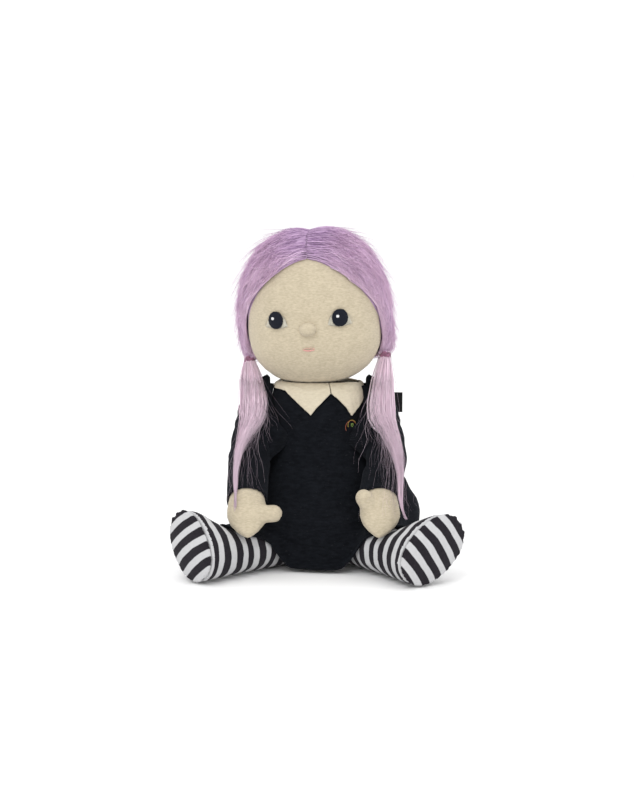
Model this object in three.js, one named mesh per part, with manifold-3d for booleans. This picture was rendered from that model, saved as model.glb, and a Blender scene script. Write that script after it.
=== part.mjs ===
// A soft cloth doll in a witch costume, sitting, in millimetres.
// The origin is the middle of its seat on the floor. The doll faces -Y and +Z is up.
// Left and right are the doll's own: its left side is at +X.
import * as THREE from "three";
import { mergeVertices } from "three/addons/utils/BufferGeometryUtils.js";
import Module from "manifold-3d";

const wasm = await Module();
wasm.setup();

// Cloth and clearances
const SEWN_GAP = 0.3;
const DRESS_CLOTH = 1.6;
const FELT = 1.8;
const THREAD_PAD = 0.7;
const FLOOR_ROOM = 0.8;

// Stuffed body
const SEAT_WIDTH = 80;
const SEAT_FRONT = 31;
const SEAT_BACK = 33;
const CHEST_WIDTH = 67;
const CHEST_FRONT = 27;
const BELLY_FRONT = 35;
const BACK_DEPTH = 27;
const TORSO_HEIGHT = 128;
const NECK_RADIUS = 15;
const PELLET_BAG_WIDTH = 56;
const PELLET_BAG_DEPTH = 38;
const PELLET_BAG_HEIGHT = 24;
const CLOSING_SEAM = 26;

// Head
const HEAD_WIDTH = 100;
const HEAD_FRONT = 43;
const HEAD_BACK = 45;
const HEAD_ABOVE = 67;
const HEAD_BELOW = 43.3;
const HEAD_FULLNESS = 2.4;
const HEAD_TURN = -7;
const HEAD_TILT = -3;
const NOSE_WIDTH = 12.4;
const NOSE_HEIGHT = 9.6;
const NOSE_REACH = 6.4;
const NOSE_UP = 44.2;
const EYE_SPACING = 0.46 * HEAD_WIDTH;
const EYE_UP = 51.6;
const PUPIL_WIDTH = 10.8;
const PUPIL_HEIGHT = 12.6;
const WHITE_WIDTH = 15.8;
const WHITE_HEIGHT = 9.4;
const MOUTH_WIDTH = 8.6;
const MOUTH_HEIGHT = 2.6;
const MOUTH_UP = 29.6;

// Hair
const WIG_EDGE = 1.4;
const WIG_DEPTH = 6.6;
const WIG_SIDE = 7.4;
const WIG_GATHER = 4.5;
const HAIRLINE_APEX = 50;
const HAIRLINE_TEMPLE = 4;
const HAIRLINE_EAR = -30;
const HAIRLINE_NAPE = -40;
const TIE_OUT = 51.2;
const TIE_UP = 18.3;
const TIE_BACK = 3;
const TIE_BORE = 3.4;
const TIE_BAND = 1.7;
const PIGTAIL_WIDTH = 18.5;
const PIGTAIL_DEPTH = 9;

// Arms and sleeves
const SHOULDER_OUT = 42;
const SHOULDER_UP = 117;
const SHOULDER_BACK = -1;
const SHOULDER_TOP = 21;
const ARM_SWEEP = 56;
const ARM_RADIUS = 15.2;
const WRIST_RADIUS = 13;
const HAND_WIDTH = 31;
const HAND_DEPTH = 20;
const THUMB_LENGTH = 27;
const THUMB_RADIUS = 6.4;

// Legs and feet
const HIP_OUT = 26;
const HIP_FRONT = 22;
const HIP_SEAM = 30;
const HIP_BEAD = 2;
const LEG_LENGTH = 88;
const THIGH_RADIUS = 18;
const ANKLE_RADIUS = 16.5;
const SOLE_WIDTH = 41;
const SOLE_THICKNESS = 3;
const TOE_RISE = 11;
const SOLE_FULLNESS = 2.25;

// Dress and collar
const HEM_WIDTH = 148;
const HEM_FRONT = 60;
const HEM_BACK = 52;
const HEM_FOLD = 2.4;
const FOLD_COUNT = 9;
const SKIRT_LENGTH = 68;
const NECKLINE_UP = 132;
const NECKLINE_WIDTH = 53;
const TRIM_LIFT = 0.9;
const COLLAR_TWIST = 14.5;
const COLLAR_TIP = 21;
const COLLAR_END = 171;
const PLACKET_WIDTH = 11;
const PLACKET_LENGTH = 62;
const TAB_WIDTH = 15;
const TAB_REACH = 9;

// What differs between the two sides of the doll as it sits
const LEFT = { sign: 1, name: "left", splay: 32, footTurn: 0, footRoll: -54, footLength: 60, handOut: 45, thumbLift: 62 };
const RIGHT = { sign: -1, name: "right", splay: 42.5, footTurn: 6.5, footRoll: -36, footLength: 54, handOut: 51.5, thumbLift: 4 };

const CREAM = { color: 0xddd0b0, roughness: 0.95 };
const BLACK = { color: 0x121416, roughness: 0.95 };
const LILAC = { color: 0xb99ac4, roughness: 0.75 };
const PALE_LILAC = { color: 0xdfc6dd, roughness: 0.75 };
const NAVY = { color: 0x1f2430, roughness: 0.6 };
const WHITE = { color: 0xe9e4d6, roughness: 0.9 };
const STRIPE_WHITE = { color: 0xc9c9cc, roughness: 0.9 };
const STRIPE_DARK = { color: 0x2b2430, roughness: 0.9 };

const radians = THREE.MathUtils.degToRad;
const mix = THREE.MathUtils.lerp;
const vec = (x, y, z) => new THREE.Vector3(x, y, z);
const ease = (value, from, to) => THREE.MathUtils.smoothstep(value, from, to);

/** Cosine and sine of a turn u, pushed outward for a fuller section than an ellipse. */
function section(u, fullness) {
  const angle = 2 * Math.PI * u;
  const push = (value) => Math.sign(value) * Math.abs(value) ** (2 / fullness);
  return [push(Math.cos(angle)), push(Math.sin(angle))];
}

/** The surface moved outward along its own normal by a distance, which may vary. */
function offset(surface, distance) {
  const step = 1e-3;
  return (u, v) => {
    const forward = surface(u + step, v).sub(surface(u - step, v));
    const upward = surface(u, Math.min(v + step, 1)).sub(surface(u, Math.max(v - step, 0)));
    const reach = typeof distance === "function" ? distance(u, v) : distance;
    return surface(u, v).addScaledVector(forward.cross(upward).normalize(), reach);
  };
}

/** A closed geometry from points and triangles, with shared corners merged and faces out. */
function closed(points, triangles) {
  const raw = new THREE.BufferGeometry();
  raw.setAttribute("position", new THREE.Float32BufferAttribute(points.flatMap((p) => [p.x, p.y, p.z]), 3));
  raw.setIndex(triangles.flat());
  const merged = mergeVertices(raw, 1e-4);
  const corner = merged.index.array;
  const place = (i) => vec().fromBufferAttribute(merged.attributes.position, corner[i]);
  const kept = [];
  let volume = 0;
  for (let i = 0; i < corner.length; i += 3) {
    const [a, b, c] = [corner[i], corner[i + 1], corner[i + 2]];
    if (a === b || b === c || c === a) continue;
    kept.push([a, b, c]);
    volume += place(i).dot(place(i + 1).cross(place(i + 2)));
  }
  merged.setIndex(kept.flatMap(([a, b, c]) => (volume > 0 ? [a, b, c] : [a, c, b])));
  return merged;
}

/** A solid through rings of equal point count, closed by a fan to a point at each end. */
function loft(rings, start, end) {
  const around = rings[0].length;
  const points = [...rings.flat(), start, end];
  const triangles = [];
  for (let i = 0; i < around; i += 1) {
    const next = (i + 1) % around;
    for (let j = 0; j + 1 < rings.length; j += 1) {
      const low = j * around;
      const high = low + around;
      triangles.push([low + i, low + next, high + next], [low + i, high + next, high + i]);
    }
    const last = (rings.length - 1) * around;
    triangles.push([points.length - 2, next, i], [points.length - 1, last + i, last + next]);
  }
  return closed(points, triangles);
}

const ringAt = (surface, v, around) =>
  Array.from({ length: around }, (_, i) => surface(i / around, v));
const middle = (ring) => ring.reduce((sum, p) => sum.add(p), vec()).divideScalar(ring.length);

/** A stuffed form from pole to pole, grown outward by a clearance. */
function stuffed(surface, around, along, grow = 0) {
  const skin = grow === 0 ? surface : offset(surface, grow);
  const rings = Array.from({ length: along - 1 }, (_, j) => ringAt(skin, (j + 1) / along, around));
  const pole = (v, ring) => {
    const tip = surface(0, v);
    return tip.clone().addScaledVector(tip.sub(middle(ring)).normalize(), grow);
  };
  return loft(rings, pole(0, rings[0]), pole(1, rings.at(-1)));
}

/** A sheet with thickness between two surfaces: a tube if it wraps, or else a patch. */
function sheet(outer, inner, around, along, wraps) {
  const columns = wraps ? around : around + 1;
  const grid = (surface) =>
    Array.from({ length: (along + 1) * columns }, (_, n) =>
      surface((n % columns) / around, Math.floor(n / columns) / along));
  const points = [...grid(outer), ...grid(inner)];
  const back = points.length / 2;
  const triangles = [];
  const quad = (a, b, c, d) => triangles.push([a, b, c], [a, c, d]);
  const at = (i, j) => j * columns + (i % columns);
  for (let i = 0; i < around; i += 1) {
    for (let j = 0; j < along; j += 1) {
      quad(at(i, j), at(i + 1, j), at(i + 1, j + 1), at(i, j + 1));
      quad(back + at(i, j), back + at(i, j + 1), back + at(i + 1, j + 1), back + at(i + 1, j));
    }
    quad(at(i + 1, 0), at(i, 0), back + at(i, 0), back + at(i + 1, 0));
    quad(at(i, along), at(i + 1, along), back + at(i + 1, along), back + at(i, along));
  }
  for (let j = 0; j < along && !wraps; j += 1) {
    quad(at(0, j), at(0, j + 1), back + at(0, j + 1), back + at(0, j));
    quad(at(around, j + 1), at(around, j), back + at(around, j), back + at(around, j + 1));
  }
  return closed(points, triangles);
}

function toSolid(geometry) {
  const bare = geometry.clone();
  bare.deleteAttribute("normal");
  bare.deleteAttribute("uv");
  const merged = mergeVertices(bare, 1e-4);
  const vertProperties = new Float32Array(merged.attributes.position.array);
  const triVerts = new Uint32Array(merged.index.array);
  return new wasm.Manifold(new wasm.Mesh({ numProp: 3, vertProperties, triVerts }));
}

function toGeometry(solid) {
  const mesh = solid.getMesh();
  const geometry = new THREE.BufferGeometry();
  geometry.setAttribute("position", new THREE.BufferAttribute(mesh.vertProperties, 3));
  geometry.setIndex(new THREE.BufferAttribute(mesh.triVerts, 1));
  return geometry;
}

const cut = (geometry, ...tools) =>
  toGeometry(tools.reduce((solid, tool) => solid.subtract(toSolid(tool)), toSolid(geometry)));
const join = (geometry, ...others) =>
  toGeometry(others.reduce((solid, other) => solid.add(toSolid(other)), toSolid(geometry)));

const doll = new THREE.Group();

/** Adds one named sub-part to a group, smooth-shaded by its own material. */
function add(parent, name, geometry, finish) {
  if (!geometry.attributes.normal) geometry.computeVertexNormals();
  const mesh = new THREE.Mesh(geometry, new THREE.MeshStandardMaterial({ metalness: 0, ...finish }));
  mesh.name = name;
  parent.add(mesh);
  return mesh;
}

// Stuffed torso: front, back and side outlines share their heights
const TORSO_HEIGHTS = [0, 0.04, 0.16, 0.4, 0.62, 0.84, 0.95, 1].map((share) => share * TORSO_HEIGHT);
const outline = (halves) => new THREE.SplineCurve(
  halves.map((half, i) => new THREE.Vector2(half, TORSO_HEIGHTS[i])));
const torsoSide = outline([
  SEAT_WIDTH / 2, SEAT_WIDTH / 2 + 3, SEAT_WIDTH / 2 + 4, CHEST_WIDTH / 2 + 2,
  CHEST_WIDTH / 2, CHEST_WIDTH / 2, CHEST_WIDTH / 2 - 6, CHEST_WIDTH / 2 - 14,
]);
const torsoFront = outline([
  SEAT_FRONT, SEAT_FRONT + 2, SEAT_FRONT + 4, BELLY_FRONT,
  BELLY_FRONT - 3, CHEST_FRONT - 3, CHEST_FRONT - 9, CHEST_FRONT - 14,
]);
const torsoBack = outline([
  SEAT_BACK, SEAT_BACK + 2, SEAT_BACK + 3, BACK_DEPTH + 4,
  BACK_DEPTH, BACK_DEPTH - 3, BACK_DEPTH - 8, BACK_DEPTH - 13,
]);

function torsoSurface(u, v) {
  const [c, s] = section(u, 2.2);
  const side = torsoSide.getPoint(v);
  const reach = (s < 0 ? torsoFront : torsoBack).getPoint(v).x;
  return vec(side.x * c, reach * s, side.y);
}

// Legs: each lies along the floor from a flat sewn hip seam to its foot
function legDirection(side) {
  const splay = radians(side.splay);
  return vec(side.sign * Math.sin(splay), -Math.cos(splay), 0);
}

const hipPoint = (side) => vec(side.sign * HIP_OUT, -HIP_FRONT, FLOOR_ROOM + HIP_BEAD);

/** How far a full section reaches below its middle, from its two half sizes along that way. */
const legReach = (a, b) => {
  const power = SOLE_FULLNESS / (SOLE_FULLNESS - 1);
  return (Math.abs(a) ** power + Math.abs(b) ** power) ** (1 / power);
};

/** The size, turn and middle of a leg's section at v, from hip seam to sole. */
function legSection(side, v) {
  const run = mix(-HIP_BEAD, LEG_LENGTH, v);
  const bead = Math.sqrt(Math.max(HIP_BEAD ** 2 - Math.min(run, 0) ** 2, 0));
  const swell = 1 - Math.exp(-Math.max(run, 0) / 12);
  const taper = mix(THIGH_RADIUS, ANKLE_RADIUS, ease(run, LEG_LENGTH * 0.4, LEG_LENGTH * 0.75));
  const foot = ease(run, LEG_LENGTH * 0.62, LEG_LENGTH);
  const across = mix(mix(HIP_SEAM / 2, taper, ease(run, 0, 40)), SOLE_WIDTH / 2, foot);
  const tall = mix(mix(bead, taper, swell), side.footLength / 2, foot);
  const roll = radians(side.footRoll) * ease(run, LEG_LENGTH * 0.3, LEG_LENGTH * 0.9) * side.sign;
  const yaw = radians(side.footTurn) * foot * side.sign;
  const heading = legDirection(side).applyAxisAngle(vec(0, 0, 1), yaw);
  const level = vec(-heading.y, heading.x, 0);
  const toe = vec(0, 0, 1).applyAxisAngle(heading, roll);
  const width = level.clone().applyAxisAngle(heading, roll);
  const height = legReach(tall * Math.cos(roll), across * Math.sin(roll));
  const centre = hipPoint(side).addScaledVector(legDirection(side), run);
  centre.addScaledVector(toe, TOE_RISE * foot).setZ(FLOOR_ROOM + height);
  return { centre, width, toe, heading, across, tall };
}

const legSurface = (side) => (u, v) => {
  const { centre, width, toe, across, tall } = legSection(side, v);
  const [c, s] = section(u, 2.15);
  return centre.addScaledVector(width, across * c).addScaledVector(toe, tall * s);
};

const legEnds = [0.1, 0.35, 0.7, 1].map((share) => (share * HIP_BEAD) / (LEG_LENGTH + HIP_BEAD));
const legSteps = [...legEnds, ...Array.from({ length: 12 }, (_, i) => mix(0.05, 1, i / 11))];

function legForm(side, grow = 0) {
  const skin = grow === 0 ? legSurface(side) : offset(legSurface(side), grow);
  const rings = legSteps.map((v) => ringAt(skin, v, 18));
  const start = middle(rings[0]).addScaledVector(legDirection(side), -grow);
  const end = middle(rings.at(-1)).addScaledVector(legSection(side, 1).heading, grow);
  return loft(rings, start, end);
}

/** The flat sole, a padded oval that follows the foot's last section. */
function soleForm(side) {
  const { centre, width, toe, heading, across, tall } = legSection(side, 1);
  const layer = (share, lift) => Array.from({ length: 24 }, (_, i) => {
    const [c, s] = section(i / 24, SOLE_FULLNESS);
    return centre.clone().addScaledVector(width, across * share * c)
      .addScaledVector(toe, tall * share * s).addScaledVector(heading, SEWN_GAP + lift);
  });
  const rings = [
    layer(0.6, 0), layer(0.96, 0), layer(0.995, SOLE_THICKNESS * 0.4),
    layer(0.95, SOLE_THICKNESS), layer(0.6, SOLE_THICKNESS * 1.25),
  ];
  return loft(rings, middle(rings[0]), middle(rings.at(-1)));
}

/** The room in front of a hip seam, which the torso leaves free for the leg to swing down. */
function hipRoom(side) {
  const size = 160;
  const lean = radians(20);
  const room = new THREE.BoxGeometry(size, size, size);
  room.translate(0, -size / 2, 0);
  room.rotateX(-lean);
  const reach = -(HIP_BEAD + SEWN_GAP);
  room.rotateZ(radians(side.splay) * side.sign);
  const foot = hipPoint(side).addScaledVector(legDirection(side), reach).setZ(0);
  return room.translate(foot.x, foot.y, foot.z);
}

// Torso with its pellet bag, and the closing seam at the back that the bag went in through
const bagSurface = (u, v) => {
  const lift = Math.PI * (v - 0.5);
  const [c, s] = section(u, 2.4);
  const round = Math.cos(lift) ** 0.7;
  return vec(
    (PELLET_BAG_WIDTH / 2) * c * round,
    2 + (PELLET_BAG_DEPTH / 2) * s * round,
    6 + (PELLET_BAG_HEIGHT / 2) * (1 + Math.sin(lift)),
  );
};
const closingSeam = new THREE.BoxGeometry(DRESS_CLOTH / 2, SEAT_BACK + 12, CLOSING_SEAM);
closingSeam.translate(0, (SEAT_BACK + 12) / 2, 8 + CLOSING_SEAM / 2);
const torsoRings = [0, 0.04, 0.12, 0.22, 0.34, 0.46, 0.6, 0.74, 0.86, 0.94, 1]
  .map((v) => ringAt(torsoSurface, v, 24));
const torsoWhole = loft(torsoRings, middle(torsoRings[0]), middle(torsoRings.at(-1)));
const torso = cut(
  torsoWhole, hipRoom(LEFT), hipRoom(RIGHT), stuffed(bagSurface, 18, 9, SEWN_GAP), closingSeam);
add(doll, "torso", torso, CREAM);
add(doll, "pellet_bag", stuffed(bagSurface, 18, 9), WHITE);

// Neck: a short stuffed stub between torso and head
const neckFoot = TORSO_HEIGHT + SEWN_GAP;
const headFoot = neckFoot + 4.8;
const neckTop = headFoot - SEWN_GAP;
const neck = new THREE.LatheGeometry([
  new THREE.Vector2(0, neckFoot), new THREE.Vector2(NECK_RADIUS - 1, neckFoot),
  new THREE.Vector2(NECK_RADIUS, mix(neckFoot, neckTop, 0.3)),
  new THREE.Vector2(NECK_RADIUS, mix(neckFoot, neckTop, 0.7)),
  new THREE.Vector2(NECK_RADIUS - 2, neckTop), new THREE.Vector2(0, neckTop),
], 24);
neck.rotateX(Math.PI / 2);
neck.deleteAttribute("normal");
neck.deleteAttribute("uv");
add(doll, "neck", mergeVertices(neck, 1e-4), CREAM);

// Head, turned and tilted a little on the neck
const head = new THREE.Group();
head.position.set(0, 0, headFoot);
head.rotation.set(0, radians(HEAD_TILT), radians(HEAD_TURN), "ZYX");
head.updateMatrix();
doll.add(head);

/** The head's girth at a share of its height from the middle: fuller than an ellipsoid's. */
const girth = (share) => Math.max(1 - Math.abs(share) ** HEAD_FULLNESS, 0) ** (1 / HEAD_FULLNESS);

function headSurface(u, v) {
  const angle = 2 * Math.PI * u;
  const rise = Math.PI * (v - 0.5);
  const depth = Math.sin(angle) < 0 ? HEAD_FRONT : HEAD_BACK;
  const round = girth(Math.sin(rise));
  return vec(
    (HEAD_WIDTH / 2) * Math.cos(angle) * round,
    depth * Math.sin(angle) * round,
    HEAD_BELOW + (rise < 0 ? HEAD_BELOW : HEAD_ABOVE) * Math.sin(rise),
  );
}
add(head, "head", stuffed(headSurface, 28, 16), CREAM);
const headRoom = stuffed(headSurface, 28, 16, SEWN_GAP);

/** The point of the face at x and height z, lifted off it. */
function facePoint(x, z, lift) {
  const tall = z < HEAD_BELOW ? HEAD_BELOW : HEAD_ABOVE;
  const across = x / (HEAD_WIDTH / 2);
  const share = (z - HEAD_BELOW) / tall;
  const round = girth(share);
  const y = -HEAD_FRONT * Math.sqrt(round ** 2 - across ** 2);
  const up = Math.sign(share) * Math.abs(share) ** (HEAD_FULLNESS - 1) * round ** (2 - HEAD_FULLNESS);
  const normal = vec(across / (HEAD_WIDTH / 2), y / HEAD_FRONT ** 2, up / tall).normalize();
  return vec(x, y, z).addScaledVector(normal, lift);
}

/** An embroidered patch that lies on the face. */
function facePatch(x, z, width, height, lift, crown = 0.3) {
  const layer = (share, rise) => Array.from({ length: 14 }, (_, i) => {
    const angle = (2 * Math.PI * i) / 14;
    const across = (width / 2) * share * Math.cos(angle);
    const up = (height / 2) * share * Math.sin(angle);
    return facePoint(x + across, z + up, lift + rise);
  });
  const top = THREAD_PAD + crown;
  const rings = [layer(0.5, 0), layer(1, 0), layer(1, THREAD_PAD * 0.6), layer(0.6, top)];
  return loft(rings, facePoint(x, z, lift), facePoint(x, z, lift + top));
}

for (const side of [LEFT, RIGHT]) {
  const x = (side.sign * EYE_SPACING) / 2;
  const white = facePatch(x, EYE_UP - 2.4, WHITE_WIDTH, WHITE_HEIGHT, SEWN_GAP, 0);
  add(head, `${side.name}_eye_white`, white, WHITE);
  const pupil = facePatch(x, EYE_UP, PUPIL_WIDTH, PUPIL_HEIGHT, 2 * SEWN_GAP + THREAD_PAD);
  add(head, `${side.name}_pupil`, pupil, NAVY);
}
add(head, "mouth", facePatch(0, MOUTH_UP, MOUTH_WIDTH, MOUTH_HEIGHT, SEWN_GAP), { color: 0xd99a95 });

const nose = new THREE.SphereGeometry(1, 16, 10);
nose.scale(NOSE_WIDTH / 2, NOSE_REACH, NOSE_HEIGHT / 2);
const noseSeat = facePoint(0, NOSE_UP, 0);
nose.translate(noseSeat.x, noseSeat.y + NOSE_REACH * 0.1, noseSeat.z);
add(head, "nose", cut(nose, headRoom), CREAM);

// Wig: a long-pile cap in two halves, parted along the middle of the head
/** Height of the hairline as an angle on the head, at an angle round from the face. */
function hairline(round) {
  const brow = HAIRLINE_APEX - HAIRLINE_TEMPLE;
  if (round < 78) return HAIRLINE_TEMPLE + brow * (1 - (round / 78) ** 1.5);
  const back = mix(HAIRLINE_EAR, HAIRLINE_NAPE, ease(round, 96, 150));
  return mix(HAIRLINE_TEMPLE, back, ease(round, 78, 96));
}

/** The head's surface under one half of the wig: u from face to nape, v from hairline to crown. */
const wigGround = (side, lift, below = 0) => (u, v) => {
  const round = 180 * u;
  const rise = mix(hairline(round) - below, 90, v);
  const turn = (-90 + side.sign * round) / 360;
  const up = rise / 180 + 0.5;
  const reach = typeof lift === "function" ? lift(round, rise, v) : lift;
  return offset(headSurface, reach)(turn, Math.min(up, 0.9999));
};

/** Pile height: thin at the hairline, full over the crown and deepest by the ties. */
function pile(round, rise, v) {
  const side = Math.sin(radians(round)) ** 2 * Math.cos(radians(Math.max(rise, 0)));
  const full = mix(WIG_DEPTH, WIG_SIDE, side) + WIG_GATHER * side * ease(-rise, 0, 34);
  const edge = mix(0.24, 0.09, ease(round, 72, 96));
  return SEWN_GAP + mix(WIG_EDGE, full, Math.sqrt(ease(v, 0, edge)));
}

/** One half of the cap from inside the head to its pile, grown outward by a clearance. */
function wigHalf(side, grow = 0) {
  const below = THREE.MathUtils.radToDeg(grow / HEAD_BACK);
  const outer = wigGround(side, (round, rise, v) => pile(round, rise, v) + grow, below);
  const half = sheet(outer, wigGround(side, -DRESS_CLOTH, below), 16, 8, false);
  return half.translate((side.sign * SEWN_GAP) / 2, 0, 0);
}
for (const side of [LEFT, RIGHT]) {
  add(head, `${side.name}_wig_half`, cut(wigHalf(side), headRoom), LILAC);
}

// Arms: stuffed arm and mitten in one, with the sleeve drawn over the arm
const armSpine = (side) => new THREE.CatmullRomCurve3([
  vec(SHOULDER_OUT - 4, SHOULDER_BACK + 1, SHOULDER_UP + SHOULDER_TOP),
  vec(SHOULDER_OUT, SHOULDER_BACK - 1, SHOULDER_UP),
  vec(SHOULDER_OUT + 3, SHOULDER_BACK - 7, SHOULDER_UP - 15),
  vec(SHOULDER_OUT + 8, SHOULDER_BACK - 21, SHOULDER_UP - 34),
  vec(side.handOut, SHOULDER_BACK - 49, SHOULDER_UP - 59),
  vec(side.handOut - 0.5, SHOULDER_BACK - 66, SHOULDER_UP - 71),
  vec(side.handOut - 1.5, SHOULDER_BACK - 81, SHOULDER_UP - 86),
].map((p) => p.setX(p.x * side.sign)));
const WRIST_AT = 0.725;

const armSurface = (side) => {
  const spine = armSpine(side);
  return (u, v) => {
    const heading = spine.getTangent(v);
    const up = vec(0, 0, 1).cross(heading).lengthSq() > 0.05 ? vec(0, -1, 0.6) : vec(0, -1, 0);
    const across = up.cross(heading).normalize();
    const over = heading.clone().cross(across);
    const rise = ease(v, -0.01, 0.22) ** 0.5;
    const close = Math.sqrt(Math.max(1 - ease(v, 0.74, 1.0) ** 2.2, 0));
    const limb = mix(ARM_RADIUS, WRIST_RADIUS, ease(v, 0.2, WRIST_AT));
    const hand = ease(v, WRIST_AT, WRIST_AT + 0.12);
    const wide = mix(limb, HAND_WIDTH / 2, hand) * rise * close;
    const deep = mix(limb, HAND_DEPTH / 2, hand) * rise * close;
    const [c, s] = section(u, 2.1);
    return spine.getPoint(v).addScaledVector(across, wide * c).addScaledVector(over, deep * s);
  };
};

/** The thumb, a rounded finger on the inner edge of the mitten. */
function thumbForm(side) {
  const root = armSpine(side).getPoint(0.83);
  const lift = radians(side.thumbLift);
  const reach = vec(-side.sign * Math.cos(lift), -0.15, Math.sin(lift)).normalize();
  const foot = root.addScaledVector(vec(-side.sign, 0, 0), HAND_WIDTH * 0.16);
  const thumb = new THREE.CapsuleGeometry(THUMB_RADIUS, THUMB_LENGTH - 2 * THUMB_RADIUS, 4, 12, 1);
  thumb.translate(0, THUMB_LENGTH / 2 - THUMB_RADIUS, 0);
  thumb.applyQuaternion(new THREE.Quaternion().setFromUnitVectors(vec(0, 1, 0), reach));
  return thumb.translate(foot.x, foot.y, foot.z);
}

/** A length of the arm's form, grown outward and cut square at v. */
function armLength(side, grow, until) {
  const skin = offset(armSurface(side), grow);
  const rings = Array.from({ length: 11 }, (_, j) => ringAt(skin, mix(0.03, until, j / 10), 18));
  const top = armSpine(side).getPoint(0).add(vec(0, 0, grow));
  return loft(rings, top, middle(rings.at(-1)));
}

/** Room beside the chest that the arm keeps out of, so that it can swing. */
function chestRoom() {
  const half = CHEST_WIDTH / 2 + SEWN_GAP + DRESS_CLOTH + SEWN_GAP;
  const room = new THREE.CylinderGeometry(ARM_SWEEP, ARM_SWEEP, 2 * half, 40);
  room.rotateZ(Math.PI / 2);
  return room.translate(0, SHOULDER_BACK, SHOULDER_UP);
}

// Dress: an A-line of brushed cotton that follows the chest and spreads over the lap
const dressEase = SEWN_GAP + DRESS_CLOTH;
const chestHalf = CHEST_WIDTH / 2 + dressEase;
const dressHeights = [FLOOR_ROOM, 14, 30, 47, 66, 92, SHOULDER_UP, TORSO_HEIGHT + 2.2, NECKLINE_UP];
const dressOutline = (halves) => new THREE.SplineCurve(
  halves.map((half, i) => new THREE.Vector2(half, dressHeights[i])));
const dressSide = dressOutline([
  HEM_WIDTH / 2, HEM_WIDTH / 2 - 1, HEM_WIDTH / 2 - 6, HEM_WIDTH / 2 - 20, chestHalf + 6.5,
  chestHalf, chestHalf, chestHalf - 4, NECKLINE_WIDTH / 2,
]);
const dressFront = dressOutline([
  HEM_FRONT, HEM_FRONT + 1.5, HEM_FRONT, HEM_FRONT - 9, BELLY_FRONT + dressEase + 4,
  CHEST_FRONT + dressEase + 3, CHEST_FRONT + dressEase, CHEST_FRONT - 3, CHEST_FRONT - 8,
]);
const dressBack = dressOutline([
  HEM_BACK, HEM_BACK - 1, HEM_BACK - 5, HEM_BACK - 11, BACK_DEPTH + dressEase + 4,
  BACK_DEPTH + dressEase, BACK_DEPTH + dressEase - 1, BACK_DEPTH - 4, BACK_DEPTH - 8,
]);

/** The dress as it would hang with no legs under it. */
function freeSurface(u, v) {
  const [c, s] = section(u, mix(2.6, 2.2, ease(v, 0.2, 0.6)));
  const side = dressSide.getPoint(v);
  const reach = (s < 0 ? dressFront : dressBack).getPoint(v).x;
  return vec(side.x * c, reach * s, side.y);
}

/** The lowest height that the skirt can have over a point of the floor. */
function lapHeight(x, y) {
  const room = DRESS_CLOTH + 2 * SEWN_GAP;
  return Math.max(FLOOR_ROOM, ...[LEFT, RIGHT].map((side) => {
    const way = legDirection(side);
    const hip = hipPoint(side);
    const run = (x - hip.x) * way.x + (y - hip.y) * way.y;
    if (run < -HIP_BEAD || run > LEG_LENGTH) return FLOOR_ROOM;
    const { centre, across, tall, width, toe } = legSection(side, (run + HIP_BEAD) / (LEG_LENGTH + HIP_BEAD));
    const level = vec(-way.y, way.x, 0);
    const half = legReach(across * width.dot(level), tall * toe.dot(level)) + room;
    const off = ((x - centre.x) * level.x + (y - centre.y) * level.y) / half;
    if (Math.abs(off) >= 1) return FLOOR_ROOM;
    const height = centre.z - FLOOR_ROOM;
    return centre.z + (height + room) * Math.sqrt(1 - off ** 2);
  }));
}

const WAIST_AT = 0.5;
const DRAPE_STEP = 2.5;
const DRAPE_BEND = radians(25);
const drapes = new Map();

/** The skirt's line at a turn u, from the waist down over the lap to the hem. */
function drape(u) {
  const key = u.toFixed(6);
  if (drapes.has(key)) return drapes.get(key);
  const waist = freeSurface(u, WAIST_AT);
  const way = freeSurface(u, 0).sub(waist).setZ(0).normalize();
  const line = [waist];
  let slope = -Math.PI / 2;
  for (let length = 0; length < SKIRT_LENGTH && line.at(-1).z > FLOOR_ROOM; length += DRAPE_STEP) {
    const at = Math.min(length / SKIRT_LENGTH, 0.96);
    const ahead = freeSurface(u, WAIST_AT * (0.96 - at)).sub(freeSurface(u, WAIST_AT * (1 - at)));
    const hang = Math.atan2(ahead.z, ahead.dot(way));
    slope = Math.max(hang, length > 0 ? slope - DRAPE_BEND : hang);
    const next = () => line.at(-1).clone()
      .addScaledVector(way, Math.cos(slope) * DRAPE_STEP).add(vec(0, 0, Math.sin(slope) * DRAPE_STEP));
    let spot = next();
    while (slope < 1 && spot.z < lapHeight(spot.x, spot.y) - 0.05 && spot.z > FLOOR_ROOM) {
      slope += 0.06;
      spot = next();
    }
    line.push(spot.setZ(Math.max(spot.z, FLOOR_ROOM)));
  }
  for (let round = 0; round < 6; round += 1) {
    for (let i = 1; i + 1 < line.length; i += 1) {
      const mean = line[i - 1].clone().add(line[i + 1]).multiplyScalar(0.5);
      line[i].lerp(mean, 0.5).setZ(Math.max(line[i].z, lapHeight(line[i].x, line[i].y)));
    }
  }
  drapes.set(key, line);
  return line;
}

function dressSurface(u, v) {
  if (v >= WAIST_AT) return freeSurface(u, v);
  const line = drape(u);
  const spot = (1 - v / WAIST_AT) * (line.length - 1);
  const low = Math.min(Math.floor(spot), line.length - 2);
  const point = line[low].clone().lerp(line[low + 1], spot - low);
  const turns = Math.cos(2 * Math.PI * FOLD_COUNT * u) * (1 - ease(v, 0, WAIST_AT));
  const fold = 1 + (HEM_FOLD / HEM_FRONT) * turns;
  point.set(point.x * fold, point.y * fold, point.z);
  return point.setZ(Math.max(point.z, lapHeight(point.x, point.y)));
}

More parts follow.
